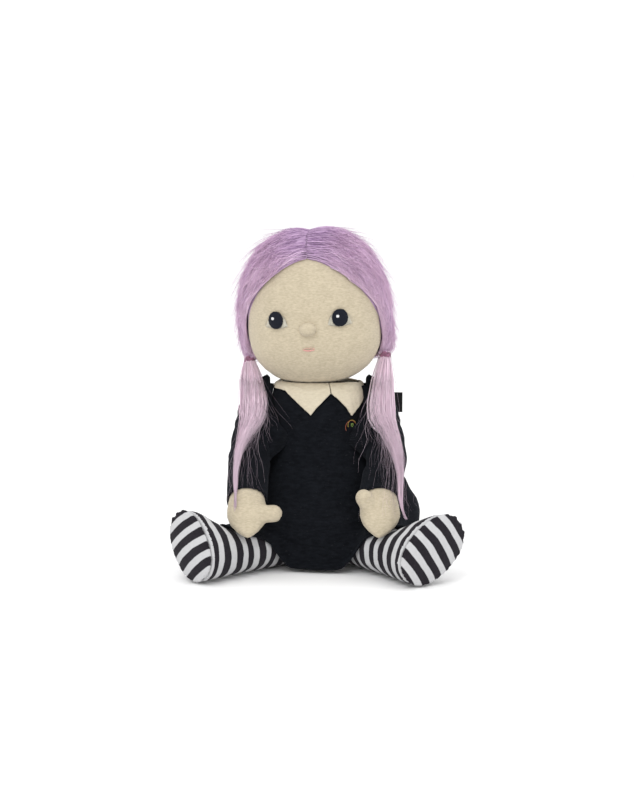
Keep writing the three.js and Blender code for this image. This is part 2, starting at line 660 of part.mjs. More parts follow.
const DRESS_AROUND = 44;
const DRESS_ALONG = 12;
const dressWhole = sheet(
  dressSurface, offset(dressSurface, -DRESS_CLOTH), DRESS_AROUND, DRESS_ALONG, true);
const dressRings = Array.from({ length: DRESS_ALONG + 1 }, (_, j) =>
  ringAt(offset(dressSurface, SEWN_GAP), j / DRESS_ALONG, DRESS_AROUND));
const dressInside = loft(dressRings, vec(0, 0, -SKIRT_LENGTH), middle(dressRings.at(-1)));
const dressRoom = join(dressInside, dressWhole);
add(doll, "dress", cut(dressWhole, legForm(LEFT, SEWN_GAP), legForm(RIGHT, SEWN_GAP)), BLACK);

// Legs and soles
for (const side of [LEFT, RIGHT]) {
  add(doll, `${side.name}_leg`, legForm(side), STRIPE_WHITE);
  add(doll, `${side.name}_sole`, soleForm(side), STRIPE_DARK);
}

// Arms and sleeves, kept off the chest, the dress and the thighs
for (const side of [LEFT, RIGHT]) {
  const arm = join(stuffed(armSurface(side), 18, 18), thumbForm(side));
  const thigh = legForm(side, SEWN_GAP);
  add(doll, `${side.name}_arm`, cut(arm, chestRoom(), dressRoom, thigh), CREAM);
  const sleeve = armLength(side, SEWN_GAP + DRESS_CLOTH, WRIST_AT);
  const bore = stuffed(armSurface(side), 18, 18, SEWN_GAP);
  add(doll, `${side.name}_sleeve`, cut(sleeve, bore, chestRoom(), dressRoom, thigh), BLACK);
}

// Collar: two pointed felt halves that lie on the dress round the neck
const COLLAR_NOTCH = 0.84;
const COLLAR_POINT = 0.725;
const COLLAR_EDGE = 0.865;
const collarAngle = (u) => (u < 0.25 ? COLLAR_TIP * 4 * u : mix(COLLAR_TIP, COLLAR_END, (u - 0.25) / 0.75));
const collarSurface = (side, lift) => (u, v) => {
  const round = collarAngle(u);
  const toPoint = mix(COLLAR_NOTCH, COLLAR_POINT, round / COLLAR_TIP);
  const past = THREE.MathUtils.clamp((round - COLLAR_TIP) / 40, 0, 1);
  const edge = round < COLLAR_TIP ? toPoint : mix(COLLAR_POINT, COLLAR_EDGE, past);
  const turn = (-90 + COLLAR_TWIST + side.sign * (round + 0.4)) / 360 + 1;
  return offset(dressSurface, lift)(turn, mix(edge, 0.985, v));
};
for (const side of [LEFT, RIGHT]) {
  const top = collarSurface(side, TRIM_LIFT + FELT);
  const collar = sheet(top, collarSurface(side, TRIM_LIFT), 16, 4, false);
  add(doll, `${side.name}_collar`, collar, CREAM);
}

// Back placket: the strip that closes the dress behind
const placketSurface = (lift) => (u, v) => {
  const half = PLACKET_WIDTH / 2 / (BACK_DEPTH * 2 * Math.PI);
  const high = 0.82;
  const low = high - (PLACKET_LENGTH / (NECKLINE_UP - FLOOR_ROOM)) * 0.8;
  return offset(dressSurface, lift)(0.25 - half + 2 * half * u, mix(low, high, v));
};
const placket = sheet(
  placketSurface(TRIM_LIFT + DRESS_CLOTH), placketSurface(TRIM_LIFT), 4, 12, false);
add(doll, "back_placket", placket, BLACK);

// Hair ties and pigtails, which hang from the sides of the wig over the sleeves
const tiePoint = (side) => vec(side.sign * TIE_OUT, TIE_BACK, TIE_UP).applyMatrix4(head.matrix);

const pigtailSpine = (side) => {
  const tie = tiePoint(side);
  const arm = armSpine(side);
  const over = (at, ahead, out) => arm.getPoint(at)
    .add(vec(side.sign * out, -(ahead + PIGTAIL_DEPTH / 2), 0));
  return new THREE.CatmullRomCurve3([
    tie.clone().add(vec(side.sign * -1, 0, 5)),
    tie,
    over(1 / 6, ARM_RADIUS + 3, 5),
    over(2 / 6, ARM_RADIUS + 5, 5),
    over(3 / 6, ARM_RADIUS + 9, 5),
    over(4 / 6, 17, 14),
    over(4.9 / 6, 12, 19),
  ]);
};

const pigtailSurface = (side) => {
  const spine = pigtailSpine(side);
  const waist = 1 / 6;
  return (u, v) => {
    const heading = spine.getTangent(v);
    const over = heading.clone().cross(vec(side.sign, 0, 0)).multiplyScalar(side.sign).normalize();
    const across = over.clone().cross(heading);
    const spread = v > waist ? ease(v, waist + 0.015, 0.3) : 0;
    const taper = (1 - Math.max(v - 0.36, 0) / 0.64) ** 1.5;
    const top = Math.sqrt(ease(v, -0.05, 0.1));
    const wide = mix(TIE_BORE - SEWN_GAP, PIGTAIL_WIDTH / 2, spread) * taper * top;
    const deep = mix(TIE_BORE - SEWN_GAP, PIGTAIL_DEPTH / 2, spread) * Math.sqrt(taper) * top;
    const [c, s] = section(u, 2);
    return spine.getPoint(v).addScaledVector(across, wide * c).addScaledVector(over, deep * s);
  };
};

for (const side of [LEFT, RIGHT]) {
  const spine = pigtailSpine(side);
  const tie = new THREE.TorusGeometry(TIE_BORE + TIE_BAND, TIE_BAND, 8, 18);
  tie.deleteAttribute("normal");
  tie.deleteAttribute("uv");
  const lie = new THREE.Quaternion().setFromUnitVectors(vec(0, 0, 1), spine.getTangent(1 / 6));
  tie.applyQuaternion(lie).translate(...spine.getPoint(1 / 6).toArray());
  const wigRoom = wigHalf(side, SEWN_GAP).applyMatrix4(head.matrix);
  const sleeveRoom = armLength(side, 2 * SEWN_GAP + DRESS_CLOTH, WRIST_AT + 0.04);
  const armRoom = stuffed(armSurface(side), 18, 18, SEWN_GAP);
  const tail = cut(stuffed(pigtailSurface(side), 14, 18), wigRoom, sleeveRoom, armRoom, dressRoom);
  add(doll, `${side.name}_pigtail`, tail, PALE_LILAC);
  add(doll, `${side.name}_hair_tie`, mergeVertices(tie, 1e-4), { color: 0xb26a8c, roughness: 0.8 });
}

// Plain fabric tab, sewn into the seam at the back of the left sleeve
const tabSeat = offset(armSurface(LEFT), 4 * SEWN_GAP + DRESS_CLOTH);
const tabRoot = tabSeat(0.9, 0.17);
const tab = new THREE.BoxGeometry(TAB_REACH, 1, TAB_WIDTH);
tab.translate(tabRoot.x + TAB_REACH / 2, tabRoot.y, tabRoot.z);
add(doll, "fabric_tab", tab, BLACK);

export default doll;
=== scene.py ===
"""Dresses the sitting cloth doll: stuffed limbs, brushed cloth, stitches and long-pile hair.

Sizes are in millimetres and are turned to metres where a mesh is made. The doll faces -Y, and left and
right are the doll's own: its left side is at +X.
"""

import logging
import math
from dataclasses import dataclass
from enum import Enum
from typing import Callable, Sequence

import bpy
import numpy as np
from mathutils import Matrix, Vector, noise
from mathutils.bvhtree import BVHTree

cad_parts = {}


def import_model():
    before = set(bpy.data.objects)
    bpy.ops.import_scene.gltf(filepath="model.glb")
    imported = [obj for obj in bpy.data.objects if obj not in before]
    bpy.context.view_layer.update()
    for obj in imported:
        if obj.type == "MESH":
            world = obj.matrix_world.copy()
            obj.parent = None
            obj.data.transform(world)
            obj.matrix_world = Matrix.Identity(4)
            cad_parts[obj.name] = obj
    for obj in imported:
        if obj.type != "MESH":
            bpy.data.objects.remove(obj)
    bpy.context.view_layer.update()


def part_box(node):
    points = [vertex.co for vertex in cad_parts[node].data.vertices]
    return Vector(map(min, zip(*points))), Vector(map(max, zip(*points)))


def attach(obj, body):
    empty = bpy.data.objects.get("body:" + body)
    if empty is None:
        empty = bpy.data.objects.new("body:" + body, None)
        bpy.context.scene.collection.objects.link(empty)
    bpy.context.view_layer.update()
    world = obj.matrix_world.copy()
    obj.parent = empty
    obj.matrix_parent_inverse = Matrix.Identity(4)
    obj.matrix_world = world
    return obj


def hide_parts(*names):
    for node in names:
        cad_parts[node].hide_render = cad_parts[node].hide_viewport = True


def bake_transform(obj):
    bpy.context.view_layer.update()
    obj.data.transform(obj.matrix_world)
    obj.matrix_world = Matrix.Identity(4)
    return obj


LOG = logging.getLogger("doll")
MM = 0.001
TINY = 1e-9

# Points of a solid that lie closer than this are one point, in millimetres.
MERGE = 0.02

# The push of the stuffing and the length of its simulation.
PRESSURE = 4.0
SWELL_FRAMES = 20

# The corners round one thread, one fibre and one strand of a band.
THREAD_SIDES = 5
HAIR_SIDES = 3
BAND_SIDES = 7

WIG_SEED, HANK_SEED, BUNCH_SEED, CUT_SEED = 100, 300, 500, 600

Array = np.ndarray
Colour = tuple[float, float, float]
Pair = tuple[float, float]
Row = tuple[float, ...]
Piece = bpy.types.Object
Material = bpy.types.Material
Socket = bpy.types.NodeSocket

WHITE_GLOW: Colour = (1, 1, 1)
HAIR_GLOW: Colour = (1.0, 0.9, 1.0)


class Side(Enum):
    """One of the doll's own two sides."""

    LEFT = 1
    RIGHT = -1

    @property
    def label(self) -> str:
        """The side's name as the pieces carry it."""
        return self.name.lower()


class Body(str, Enum):
    """The bodies of the frame that the pieces ride on."""

    TORSO = "torso_body"
    HEAD = "head_body"
    LEFT_ARM = "left_arm_body"
    RIGHT_ARM = "right_arm_body"
    LEFT_LEG = "left_leg_body"
    RIGHT_LEG = "right_leg_body"

    @staticmethod
    def arm(side: Side) -> "Body":
        """The body of one arm."""
        return Body(f"{side.label}_arm_body")

    @staticmethod
    def leg(side: Side) -> "Body":
        """The body of one leg."""
        return Body(f"{side.label}_leg_body")


# ---------------------------------------------------------------- mesh tools


def deselect() -> None:
    """Leaves edit mode and selects nothing, so that the next operator acts on its own piece."""
    if bpy.context.object and bpy.context.object.mode != "OBJECT":
        bpy.ops.object.mode_set(mode="OBJECT")
    bpy.ops.object.select_all(action="DESELECT")


def activate(piece: Piece) -> None:
    """Makes a piece the only selected and the active one."""
    deselect()
    piece.select_set(True)
    bpy.context.view_layer.objects.active = piece


def triples(items: bpy.types.bpy_prop_collection, name: str) -> Array:
    """Reads one triple of numbers from each vertex or face of a mesh."""
    flat = np.empty(len(items) * 3, np.float32)
    items.foreach_get(name, flat)
    return flat.reshape(-1, 3).astype(float)


def points_of(piece: Piece) -> Array:
    """A mesh's points in millimetres, one row each."""
    return triples(piece.data.vertices, "co") / MM


def set_points(piece: Piece, points: Array) -> None:
    """Writes a mesh's points, given in millimetres."""
    piece.data.vertices.foreach_set("co", (points * MM).astype(np.float32).ravel())
    piece.data.update()


def normals_of(piece: Piece) -> Array:
    """The outward direction at each point of a mesh."""
    return triples(piece.data.vertices, "normal")


def unit(vectors: Array) -> Array:
    """Vectors brought to length 1 along their last axis."""
    return vectors / np.maximum(np.linalg.norm(vectors, axis=-1, keepdims=True), TINY)


def bell(offset: Array, width: float) -> Array:
    """A smooth bump, 1 where the offset is 0 and gone about two widths away."""
    return np.exp(-((offset / width) ** 2))


def modify(piece: Piece, kind: str, **settings: object) -> None:
    """Adds a modifier with its settings and applies it at once.

    Args:
        piece: The mesh object.
        kind: Blender's name of the modifier type.
        **settings: The modifier's own settings.
    """
    activate(piece)
    modifier = piece.modifiers.new(kind.title(), kind)
    for name, value in settings.items():
        setattr(modifier, name, value)
    bpy.ops.object.modifier_apply(modifier=modifier.name)


def linked(name: str, data: bpy.types.ID) -> Piece:
    """Puts a mesh, lamp or camera into the scene under a name."""
    made = bpy.data.objects.new(name, data)
    bpy.context.scene.collection.objects.link(made)
    return made


def mesh_piece(name: str, points: Array, faces: Sequence[Sequence[int]]) -> Piece:
    """Makes a mesh object from points in millimetres and faces.

    Args:
        name: The piece's name.
        points: One row for each point.
        faces: The corner numbers of each face.

    Returns:
        The new object, in the scene.
    """
    mesh = bpy.data.meshes.new(name)
    mesh.from_pydata((points * MM).tolist(), [], list(faces))
    mesh.validate()
    return linked(name, mesh)


def edited(piece: Piece, operator: Callable[..., set[str]], **settings: object) -> None:
    """Runs one of Blender's mesh operators on the whole of a piece."""
    activate(piece)
    bpy.ops.object.mode_set(mode="EDIT")
    bpy.ops.mesh.select_all(action="SELECT")
    operator(**settings)
    bpy.ops.object.mode_set(mode="OBJECT")


def node_copy(name: str, node: str) -> Piece:
    """Copies a solid of the frame, with its loose triangles merged."""
    piece = linked(name, bpy.data.objects[node].data.copy())
    piece.data.materials.clear()
    edited(piece, bpy.ops.mesh.remove_doubles, threshold=MERGE * MM)
    return piece


def soft_copy(name: str, node: str, voxel: float, rounds: int) -> Piece:
    """Copies a solid of the frame as an even, softened skin.

    Args:
        name: The new piece's name.
        node: The node to copy.
        voxel: The size of the even faces, in millimetres.
        rounds: How often the skin is smoothed.

    Returns:
        The copy, at the origin.
    """
    piece = node_copy(name, node)
    modify(piece, "REMESH", mode="VOXEL", voxel_size=voxel * MM, use_smooth_shade=True)
    modify(piece, "SMOOTH", factor=0.5, iterations=rounds)
    return piece


def smooth_shaded(piece: Piece) -> None:
    """Shades a piece smoothly all over."""
    activate(piece)
    bpy.ops.object.shade_smooth()


def shaped(piece: Piece, points: Array) -> None:
    """Gives a piece its final points, in millimetres, and shades it smoothly."""
    set_points(piece, points)
    smooth_shaded(piece)


def raised(piece: Piece, lift: Array) -> None:
    """Moves each point of a piece outward by its lift, in millimetres, and shades it smoothly."""
    shaped(piece, points_of(piece) + normals_of(piece) * lift[:, None])


def grid_faces(index: Array, closed: bool) -> list[list[int]]:
    """The four-cornered faces of a grid of points, closed round its rows or open at their ends."""
    if closed:
        here, after = index, np.roll(index, -1, axis=1)
        corners = [here[:-1], after[:-1], after[1:], here[1:]]
    else:
        corners = [index[:-1, :-1], index[:-1, 1:], index[1:, 1:], index[1:, :-1]]
    return np.stack(corners, axis=-1).reshape(-1, 4).tolist()


def ripple(points: Array, size: float, seed: float) -> Array:
    """Smooth noise from -1 to 1 at each point, whose lumps are about one size across."""
    shift = Vector((seed, seed * 1.7, -seed))
    return np.array([noise.noise(Vector(p) / size + shift) for p in points])


def smoothstep(value: Array, low: float, high: float) -> Array:
    """Eases from 0 at low to 1 at high."""
    share = np.clip((value - low) / (high - low), 0, 1)
    return share * share * (3 - 2 * share)


def catmull(knots: Array, at: Array) -> Array:
    """A smooth curve through knots.

    Args:
        knots: One row for each knot.
        at: Places along the curve, from 0 to 1.

    Returns:
        The curve's point at each place.
    """
    last = len(knots) - 1
    spot = np.clip(np.asarray(at, float), 0, 1) * last
    low = np.minimum(spot.astype(int), last - 1)
    t = (spot - low)[..., None]
    a, b, c, d = (knots[np.clip(low + step, 0, last)] for step in (-1, 0, 1, 2))
    a = np.where((low == 0)[..., None], 2 * b - c, a)
    d = np.where((low == last - 1)[..., None], 2 * c - b, d)
    square, cube = 2 * a - 5 * b + 4 * c - d, 3 * b - a - 3 * c + d
    return 0.5 * (2 * b + (c - a) * t + square * t**2 + cube * t**3)


def inflate(piece: Piece, cap: float) -> None:
    """Swells a skin as stuffing does, with a short cloth simulation.

    Args:
        piece: The closed skin, a little smaller than it ends up.
        cap: How far a point may move, in millimetres.
    """
    rest = points_of(piece)
    scene = bpy.context.scene
    modifier = piece.modifiers.new("Stuffing", "CLOTH")
    cloth = modifier.settings
    cloth.use_pressure = True
    cloth.uniform_pressure_force = PRESSURE
    cloth.quality = 5
    cloth.effector_weights.gravity = 0
    modifier.point_cache.frame_start = 1
    modifier.point_cache.frame_end = SWELL_FRAMES
    for frame in range(1, SWELL_FRAMES + 1):
        scene.frame_set(frame)
    held = piece.evaluated_get(bpy.context.evaluated_depsgraph_get())
    move = points_of(held) - rest
    piece.modifiers.remove(modifier)
    scene.frame_set(1)
    if not np.isfinite(move).all():
        LOG.warning("%s: the stuffing simulation was left out", piece.name)
        return
    length = np.minimum(np.linalg.norm(move, axis=1), cap)
    set_points(piece, rest + unit(move) * length[:, None])


def number(piece: Piece, name: str, values: Array) -> None:
    """Stores one number for each point of a mesh, for its finish to read."""
    layer = piece.data.attributes.new(name, "FLOAT", "POINT")
    layer.data.foreach_set("value", np.asarray(values, np.float32))


def tubes(
    name: str,
    lines: Array,
    radii: Array,
    facing: Array,
    sides: int,
    tone: Array,
    reach: Array | None = None,
) -> Piece:
    """Makes many thin closed tubes as one mesh.

    Args:
        name: The piece's name.
        lines: The middle of each tube, as tubes by points by 3, in millimetres.
        radii: The radius at each point, as tubes by points.
        facing: A direction out of the surface at each point, for the tubes' corners.
        sides: The corners round each tube.
        tone: One number for each tube, stored as the attribute "tone".
        reach: One number for each point of each tube, stored as "reach"; from 0 to 1 if left out.

    Returns:
        The mesh of all the tubes.
    """
    count, along = lines.shape[:2]
    run = unit(np.gradient(lines, axis=1))
    across = unit(np.cross(run, facing))
    over = np.cross(across, run)
    angles = np.arange(sides) * 2 * math.pi / sides + math.pi / 2
    spread = np.cos(angles)[:, None] * across[:, :, None]
    spread = spread + np.sin(angles)[:, None] * over[:, :, None]
    points = lines[:, :, None] + spread * radii[:, :, None, None]
    corner = np.arange(count * along * sides).reshape(count, along, sides)
    after = np.roll(corner, -1, axis=2)
    quads = np.stack([corner[:, :-1], after[:, :-1], after[:, 1:], corner[:, 1:]], axis=-1)
    quads = quads.reshape(-1, 4)
    caps = np.concatenate([corner[:, 0, ::-1], corner[:, -1]])
    piece = mesh_piece(name, points.reshape(-1, 3), [*quads.tolist(), *caps.tolist()])
    number(piece, "tone", np.repeat(tone, along * sides))
    steps = np.tile(np.linspace(0, 1, along), (count, 1)) if reach is None else reach
    number(piece, "reach", np.repeat(steps.ravel(), sides))
    smooth_shaded(piece)
    round_faces = np.arange(len(piece.data.polygons)) < len(quads)
    piece.data.polygons.foreach_set("use_smooth", round_faces)
    return piece


def stitched(path: Array, stitch: float, fewest: int, ends: float) -> tuple[Array, Array, Array]:
    """Divides a path into stitches of five points each.

    Args:
        path: The flat path's points, as widths and heights.
        stitch: The length of one stitch.
        fewest: The fewest stitches.
        ends: The share of a stitch that is left free at each of its ends.

    Returns:
        The points' places within a stitch, and their widths and heights, one row for each stitch.
    """
    steps = np.linalg.norm(np.diff(path, axis=0), axis=1)
    along = np.concatenate([[0], np.cumsum(steps)])
    count = max(fewest, round(along[-1] / stitch))
    share = np.linspace(ends, 1 - ends, 5)
    spots = (np.arange(count)[:, None] + share) * along[-1] / count
    return share, np.interp(spots, along, path[:, 0]), np.interp(spots, along, path[:, 1])


def cloth_tree(name: str) -> BVHTree:
    """The faces of a finished piece, to find points on them; its lengths are in metres."""
    mesh = bpy.data.objects[name].data
    faces = [tuple(face.vertices) for face in mesh.polygons]
    return BVHTree.FromPolygons([vertex.co for vertex in mesh.vertices], faces)


def joined(name: str, pieces: Sequence[Piece]) -> Piece:
    """Joins meshes into the first of them and names it."""
    activate(pieces[0])
    for piece in pieces:
        piece.select_set(True)
    bpy.ops.object.join()
    pieces[0].name = name
    return pieces[0]


# ---------------------------------------------------------------- finishes


class Graph:
    """A material's nodes, added and linked by short calls."""

    def __init__(self, name: str) -> None:
        """Starts a material with a Principled shader."""
        self.material = bpy.data.materials.new(name)
        self.material.use_nodes = True
        self.tree = self.material.node_tree
        self.shader = self.tree.nodes["Principled BSDF"]

    def node(self, kind: str, **settings: object) -> bpy.types.Node:
        """Adds a node and sets its properties and unlinked sockets."""
        made = self.tree.nodes.new(kind)
        for name, value in settings.items():
            if hasattr(made, name):
                setattr(made, name, value)
            else:
                made.inputs[name.replace("_", " ").title()].default_value = value
        return made

    def link(self, source: Socket, target: Socket) -> None:
        """Joins two sockets."""
        self.tree.links.new(source, target)

    def place(self, scale: Sequence[float] = (1, 1, 1)) -> Socket:
        """Object coordinates in millimetres, scaled."""
        coordinates = self.node("ShaderNodeTexCoord")
        mapping = self.node("ShaderNodeMapping")
        mapping.inputs["Scale"].default_value = [s / MM for s in scale]
        self.link(coordinates.outputs["Object"], mapping.inputs["Vector"])
        return mapping.outputs["Vector"]

    def noise(self, vector: Socket, scale: float, detail: float = 3, roughness: float = 0.6) -> Socket:
        """Noise from 0 to 1, with its scale in lumps per millimetre."""
        made = self.node("ShaderNodeTexNoise", scale=scale, detail=detail, roughness=roughness)
        self.link(vector, made.inputs["Vector"])
        return made.outputs["Fac"]

    def attribute(self, name: str) -> Socket:
        """A number stored on the mesh."""
        return self.node("ShaderNodeAttribute", attribute_name=name).outputs["Fac"]

    def ramp(self, value: Socket, stops: Sequence[tuple[float, Colour]]) -> Socket:
        """A colour for each value.

        Args:
            value: The socket to look up.
            stops: Places from 0 to 1 with their colours, in order.

        Returns:
            The colour socket.
        """
        made = self.node("ShaderNodeValToRGB")
        band = made.color_ramp
        while len(band.elements) < len(stops):
            band.elements.new(0.5)
        for element, (spot, colour) in zip(band.elements, stops):
            element.position = spot
            element.color = (*colour, 1)
        self.link(value, made.inputs["Fac"])
        return made.outputs["Color"]

    def mix(self, share: Socket | float, first: Socket | Colour, second: Socket | Colour) -> Socket:
        """Mixes two colours, each a socket or a colour."""
        made = self.node("ShaderNodeMix", data_type="RGBA")
        for value, index in ((share, 0), (first, 6), (second, 7)):
            if isinstance(value, Socket):
                self.link(value, made.inputs[index])
            elif index:
                made.inputs[index].default_value = (*value, 1)
            else:
                made.inputs[index].default_value = value
        return made.outputs[2]

    def sum(self, first: Socket, second: Socket | float, kind: str = "ADD") -> Socket:
        """Adds, multiplies or otherwise combines two numbers."""
        made = self.node("ShaderNodeMath", operation=kind)
        self.link(first, made.inputs[0])
        if isinstance(second, Socket):
            self.link(second, made.inputs[1])
        else:
            made.inputs[1].default_value = second
        return made.outputs[0]

    def spread(
        self, value: Socket, low: float, high: float, to_low: float = 0.0, to_high: float = 1.0
    ) -> Socket:
        """Stretches the part of a value between low and high."""
        made = self.node("ShaderNodeMapRange")
        self.link(value, made.inputs["Value"])
        limits = {"From Min": low, "From Max": high, "To Min": to_low, "To Max": to_high}
        for name, limit in limits.items():
            made.inputs[name].default_value = limit
        return made.outputs["Result"]

    def bump(
        self, height: Socket, depth: float, strength: float = 1.0, under: Socket | None = None
    ) -> Socket:
        """Relief from a height.

        Args:
            height: The height, from 0 to 1.
            depth: What 1 stands for, in millimetres.
            strength: How much of it shows.
            under: Another relief that this one lies on.

        Returns:
            The normal socket.
        """
        made = self.node("ShaderNodeBump", distance=depth * MM, strength=strength)
        self.link(height, made.inputs["Height"])
        if under is not None:
            self.link(under, made.inputs["Normal"])
        return made.outputs["Normal"]

    def settle(
        self,
        colour: Socket,
        normal: Socket | None,
        roughness: float,
        sheen: float = 0.0,
        sheen_tint: Colour = WHITE_GLOW,
        gloss: float = 0.5,
    ) -> Material:
        """Sets the shader's own sockets and closes the material.

        Args:
            colour: The base colour.
            normal: The relief, or None.
            roughness: The roughness all over.
            sheen: The weight of the soft nap's glow.
            sheen_tint: The colour of that glow.
            gloss: The specular level.

        Returns:
            The material.
        """
        self.link(colour, self.shader.inputs["Base Color"])
        if normal is not None:
            self.link(normal, self.shader.inputs["Normal"])
        for name, value in {
            "Roughness": roughness,
            "Sheen Weight": sheen,
            "Sheen Roughness": 0.5,
            "Sheen Tint": (*sheen_tint, 1),
            "Specular IOR Level": gloss,
        }.items():
            self.shader.inputs[name].default_value = value
        return self.material


def tint(colour: Colour, share: float) -> Colour:
    """A colour made lighter above 1 or darker below it."""
    return tuple(min(c * share, 1.0) for c in colour)


@dataclass(frozen=True)
class Finish:
    """The recipe of a material."""

    name: str

    def build(self) -> Material:
        """Makes the material."""
        raise NotImplementedError(self.name)


@dataclass(frozen=True)
class NapFinish(Finish):
    """Brushed cloth with a short nap: flannel, cotton or felt.

    The grain runs along X, so lumps are wider than tall.
    """

    colour: Colour
    fleck: Colour
    fleck_share: float = 1.0
    grain: float = 0.55
    nap: float = 2.6
    nap_depth: float = 0.35
    lump_depth: float = 0.5
    sheen: float = 0.35
    sheen_tint: Colour = WHITE_GLOW
    gloss: float = 0.15
    lint: float = 0.0

    def build(self) -> Material:
        """Makes the material."""
        graph = Graph(self.name)
        place = graph.place((0.35, 0.35, 1))
        even = graph.place()
        streaks = graph.noise(place, self.grain, 5, 0.65)
        mottle = graph.noise(even, 0.12, 3)
        fuzz = graph.noise(even, self.nap, 4, 0.75)
        patchy = graph.sum(streaks, graph.sum(mottle, 0.3, "MULTIPLY"))
        share = graph.spread(patchy, 0.48, 0.82, 0, self.fleck_share)
        colour = graph.mix(share, self.fleck, self.colour)
        colour = graph.mix(graph.spread(fuzz, 0.35, 0.7, 0.0, 0.3), colour, tint(self.colour, 1.12))
        if self.lint:
            specks = graph.spread(graph.noise(place, 1.3, 2, 0.5), 0.69, 0.76)
            colour = graph.mix(graph.sum(specks, self.lint, "MULTIPLY"), colour, (0.2, 0.2, 0.21))
        relief = graph.bump(streaks, self.lump_depth, 0.5)
        relief = graph.bump(fuzz, self.nap_depth, 0.7, relief)
        return graph.settle(colour, relief, 0.95, self.sheen, self.sheen_tint, self.gloss)


@dataclass(frozen=True)
class StripeFinish(Finish):
    """Smooth jersey with stripes across a piece's own run, read from the attribute "run"."""

    white: Colour
    dark: Colour
    period: float
    dark_share: float
    wander: float = 0.5

    def build(self) -> Material:
        """Makes the material."""
        graph = Graph(self.name)
        place = graph.place()
        wander = graph.spread(graph.noise(place, 0.09, 3), 0, 1, -self.wander, self.wander)
        edge = graph.spread(graph.noise(place, 1.8, 2), 0, 1, -0.25, 0.25)
        run = graph.sum(graph.sum(graph.attribute("run"), wander), edge)
        turn = graph.sum(graph.sum(run, self.period, "DIVIDE"), 1.0, "FLOORED_MODULO")
        near = graph.sum(graph.sum(turn, 0.5, "SUBTRACT"), 0.0, "ABSOLUTE")
        half = self.dark_share / 2
        dark = graph.spread(near, half - 0.018, half + 0.018, 1, 0)
        mottle = graph.noise(place, 0.35, 4, 0.7)
        white = graph.mix(graph.spread(mottle, 0.3, 0.7), tint(self.white, 0.9), self.white)
        ink = graph.mix(graph.spread(mottle, 0.3, 0.7), tint(self.dark, 0.75), tint(self.dark, 1.25))
        colour = graph.mix(dark, white, ink)
        knit = graph.node(
            "ShaderNodeTexWave", wave_type="BANDS", bands_direction="DIAGONAL", scale=0.55, distortion=2.0)
        graph.link(place, knit.inputs["Vector"])
        relief = graph.bump(knit.outputs["Fac"], 0.12, 0.6)
        relief = graph.bump(graph.noise(place, 1.6, 3), 0.2, 0.5, relief)
        return graph.settle(colour, relief, 0.9, 0.04, gloss=0.1)


@dataclass(frozen=True)
class HairFinish(Finish):
    """Pile fibres, each with its own tone, darker at the root as painted shade deep in the pile, and mixed
    toward a tip colour at the tip.

    The lowest tones belong to the stray guard hairs.
    """

    dark: Colour
    middle: Colour
    light: Colour
    tip: Colour
    # How far the colour darkens at the root: painted shade deep in the pile.
    root: float = 0.25
    fade: float = 0.45
    gloss: float = 0.3
    guard: Colour = (0.085, 0.065, 0.085)

    def build(self) -> Material:
        """Makes the material."""
        graph = Graph(self.name)
        tone = graph.attribute("tone")
        stray = [(0.0, self.guard), (0.04, self.guard)]
        pile = [(0.08, self.dark), (0.5, self.middle), (1.0, self.light)]
        colour = graph.ramp(tone, stray + pile)
        reach = graph.attribute("reach")
        # Painted shade: the colour darkens toward the dark tone near the root, deep in the pile.
        colour = graph.mix(graph.spread(reach, 0.0, 0.45, self.root, 0.0), colour, self.dark)
        colour = graph.mix(graph.spread(reach, 0.3, 1.0, 0.0, self.fade), colour, self.tip)
        return graph.settle(colour, None, 0.5, 0.3, HAIR_GLOW, self.gloss)


@dataclass(frozen=True)
class PileFinish(Finish):
    """The backing of the pile, streaked along the way it is combed, from the attribute "comb"."""

    dark: Colour
    light: Colour

    def build(self) -> Material:
        """Makes the material."""
        graph = Graph(self.name)
        streak = graph.node("ShaderNodeTexNoise", noise_dimensions="1D", scale=2.2, detail=5)
        graph.link(graph.attribute("comb"), streak.inputs["W"])
        patch = graph.noise(graph.place(), 0.25, 3)
        share = graph.sum(streak.outputs["Fac"], patch, "MULTIPLY")
        colour = graph.mix(graph.spread(share, 0.12, 0.4), self.dark, self.light)
        relief = graph.bump(streak.outputs["Fac"], 0.8, 0.8)
        return graph.settle(colour, relief, 0.7, 0.3, HAIR_GLOW, 0.2)


@dataclass(frozen=True)
class ThreadFinish(Finish):
    """Embroidery or yarn, with a tone for each thread."""

    colour: Colour
    contrast: float = 0.3
    gloss: float = 0.35
    roughness: float = 0.5
    sheen: float = 0.2

    def build(self) -> Material:
        """Makes the material."""
        graph = Graph(self.name)
        tone = graph.attribute("tone")
        low, high = tint(self.colour, 1 - self.contrast), tint(self.colour, 1 + self.contrast)
        colour = graph.mix(tone, low, high)
        twist = graph.noise(graph.place(), 3.0, 2)
        relief = graph.bump(twist, 0.12, 0.6)
        return graph.settle(colour, relief, self.roughness, self.sheen, gloss=self.gloss)


SKIN = NapFinish("skin_flannel", (0.575, 0.50, 0.37), (0.425, 0.365, 0.262), grain=1.1, sheen=0.2)
FELT = NapFinish(
    "collar_felt", (0.62, 0.555, 0.43), (0.53, 0.47, 0.355), grain=0.9, nap=1.8, sheen=0.25)
COTTON = NapFinish(
    "dress_cotton", (0.0078, 0.0090, 0.0118), (0.0026, 0.0030, 0.0042), nap=2.4,
    sheen=0.05, sheen_tint=(0.6, 0.65, 0.75), gloss=0.05, lint=0.10)
RIBBON = NapFinish(
    "tab_ribbon", (0.014, 0.014, 0.015), (0.009, 0.009, 0.01), nap=4.0, sheen=0.1, gloss=0.25)
BAG = NapFinish("bag_cotton", (0.75, 0.73, 0.67), (0.66, 0.64, 0.58), sheen=0.1)
JERSEY = StripeFinish(
    "striped_jersey", (0.56, 0.56, 0.57), (0.018, 0.0155, 0.020), period=11.0, dark_share=0.55)
HAIR = HairFinish(
    "hair_pile", (0.36, 0.22, 0.40), (0.68, 0.47, 0.69), (0.95, 0.74, 0.93), (0.66, 0.42, 0.53))
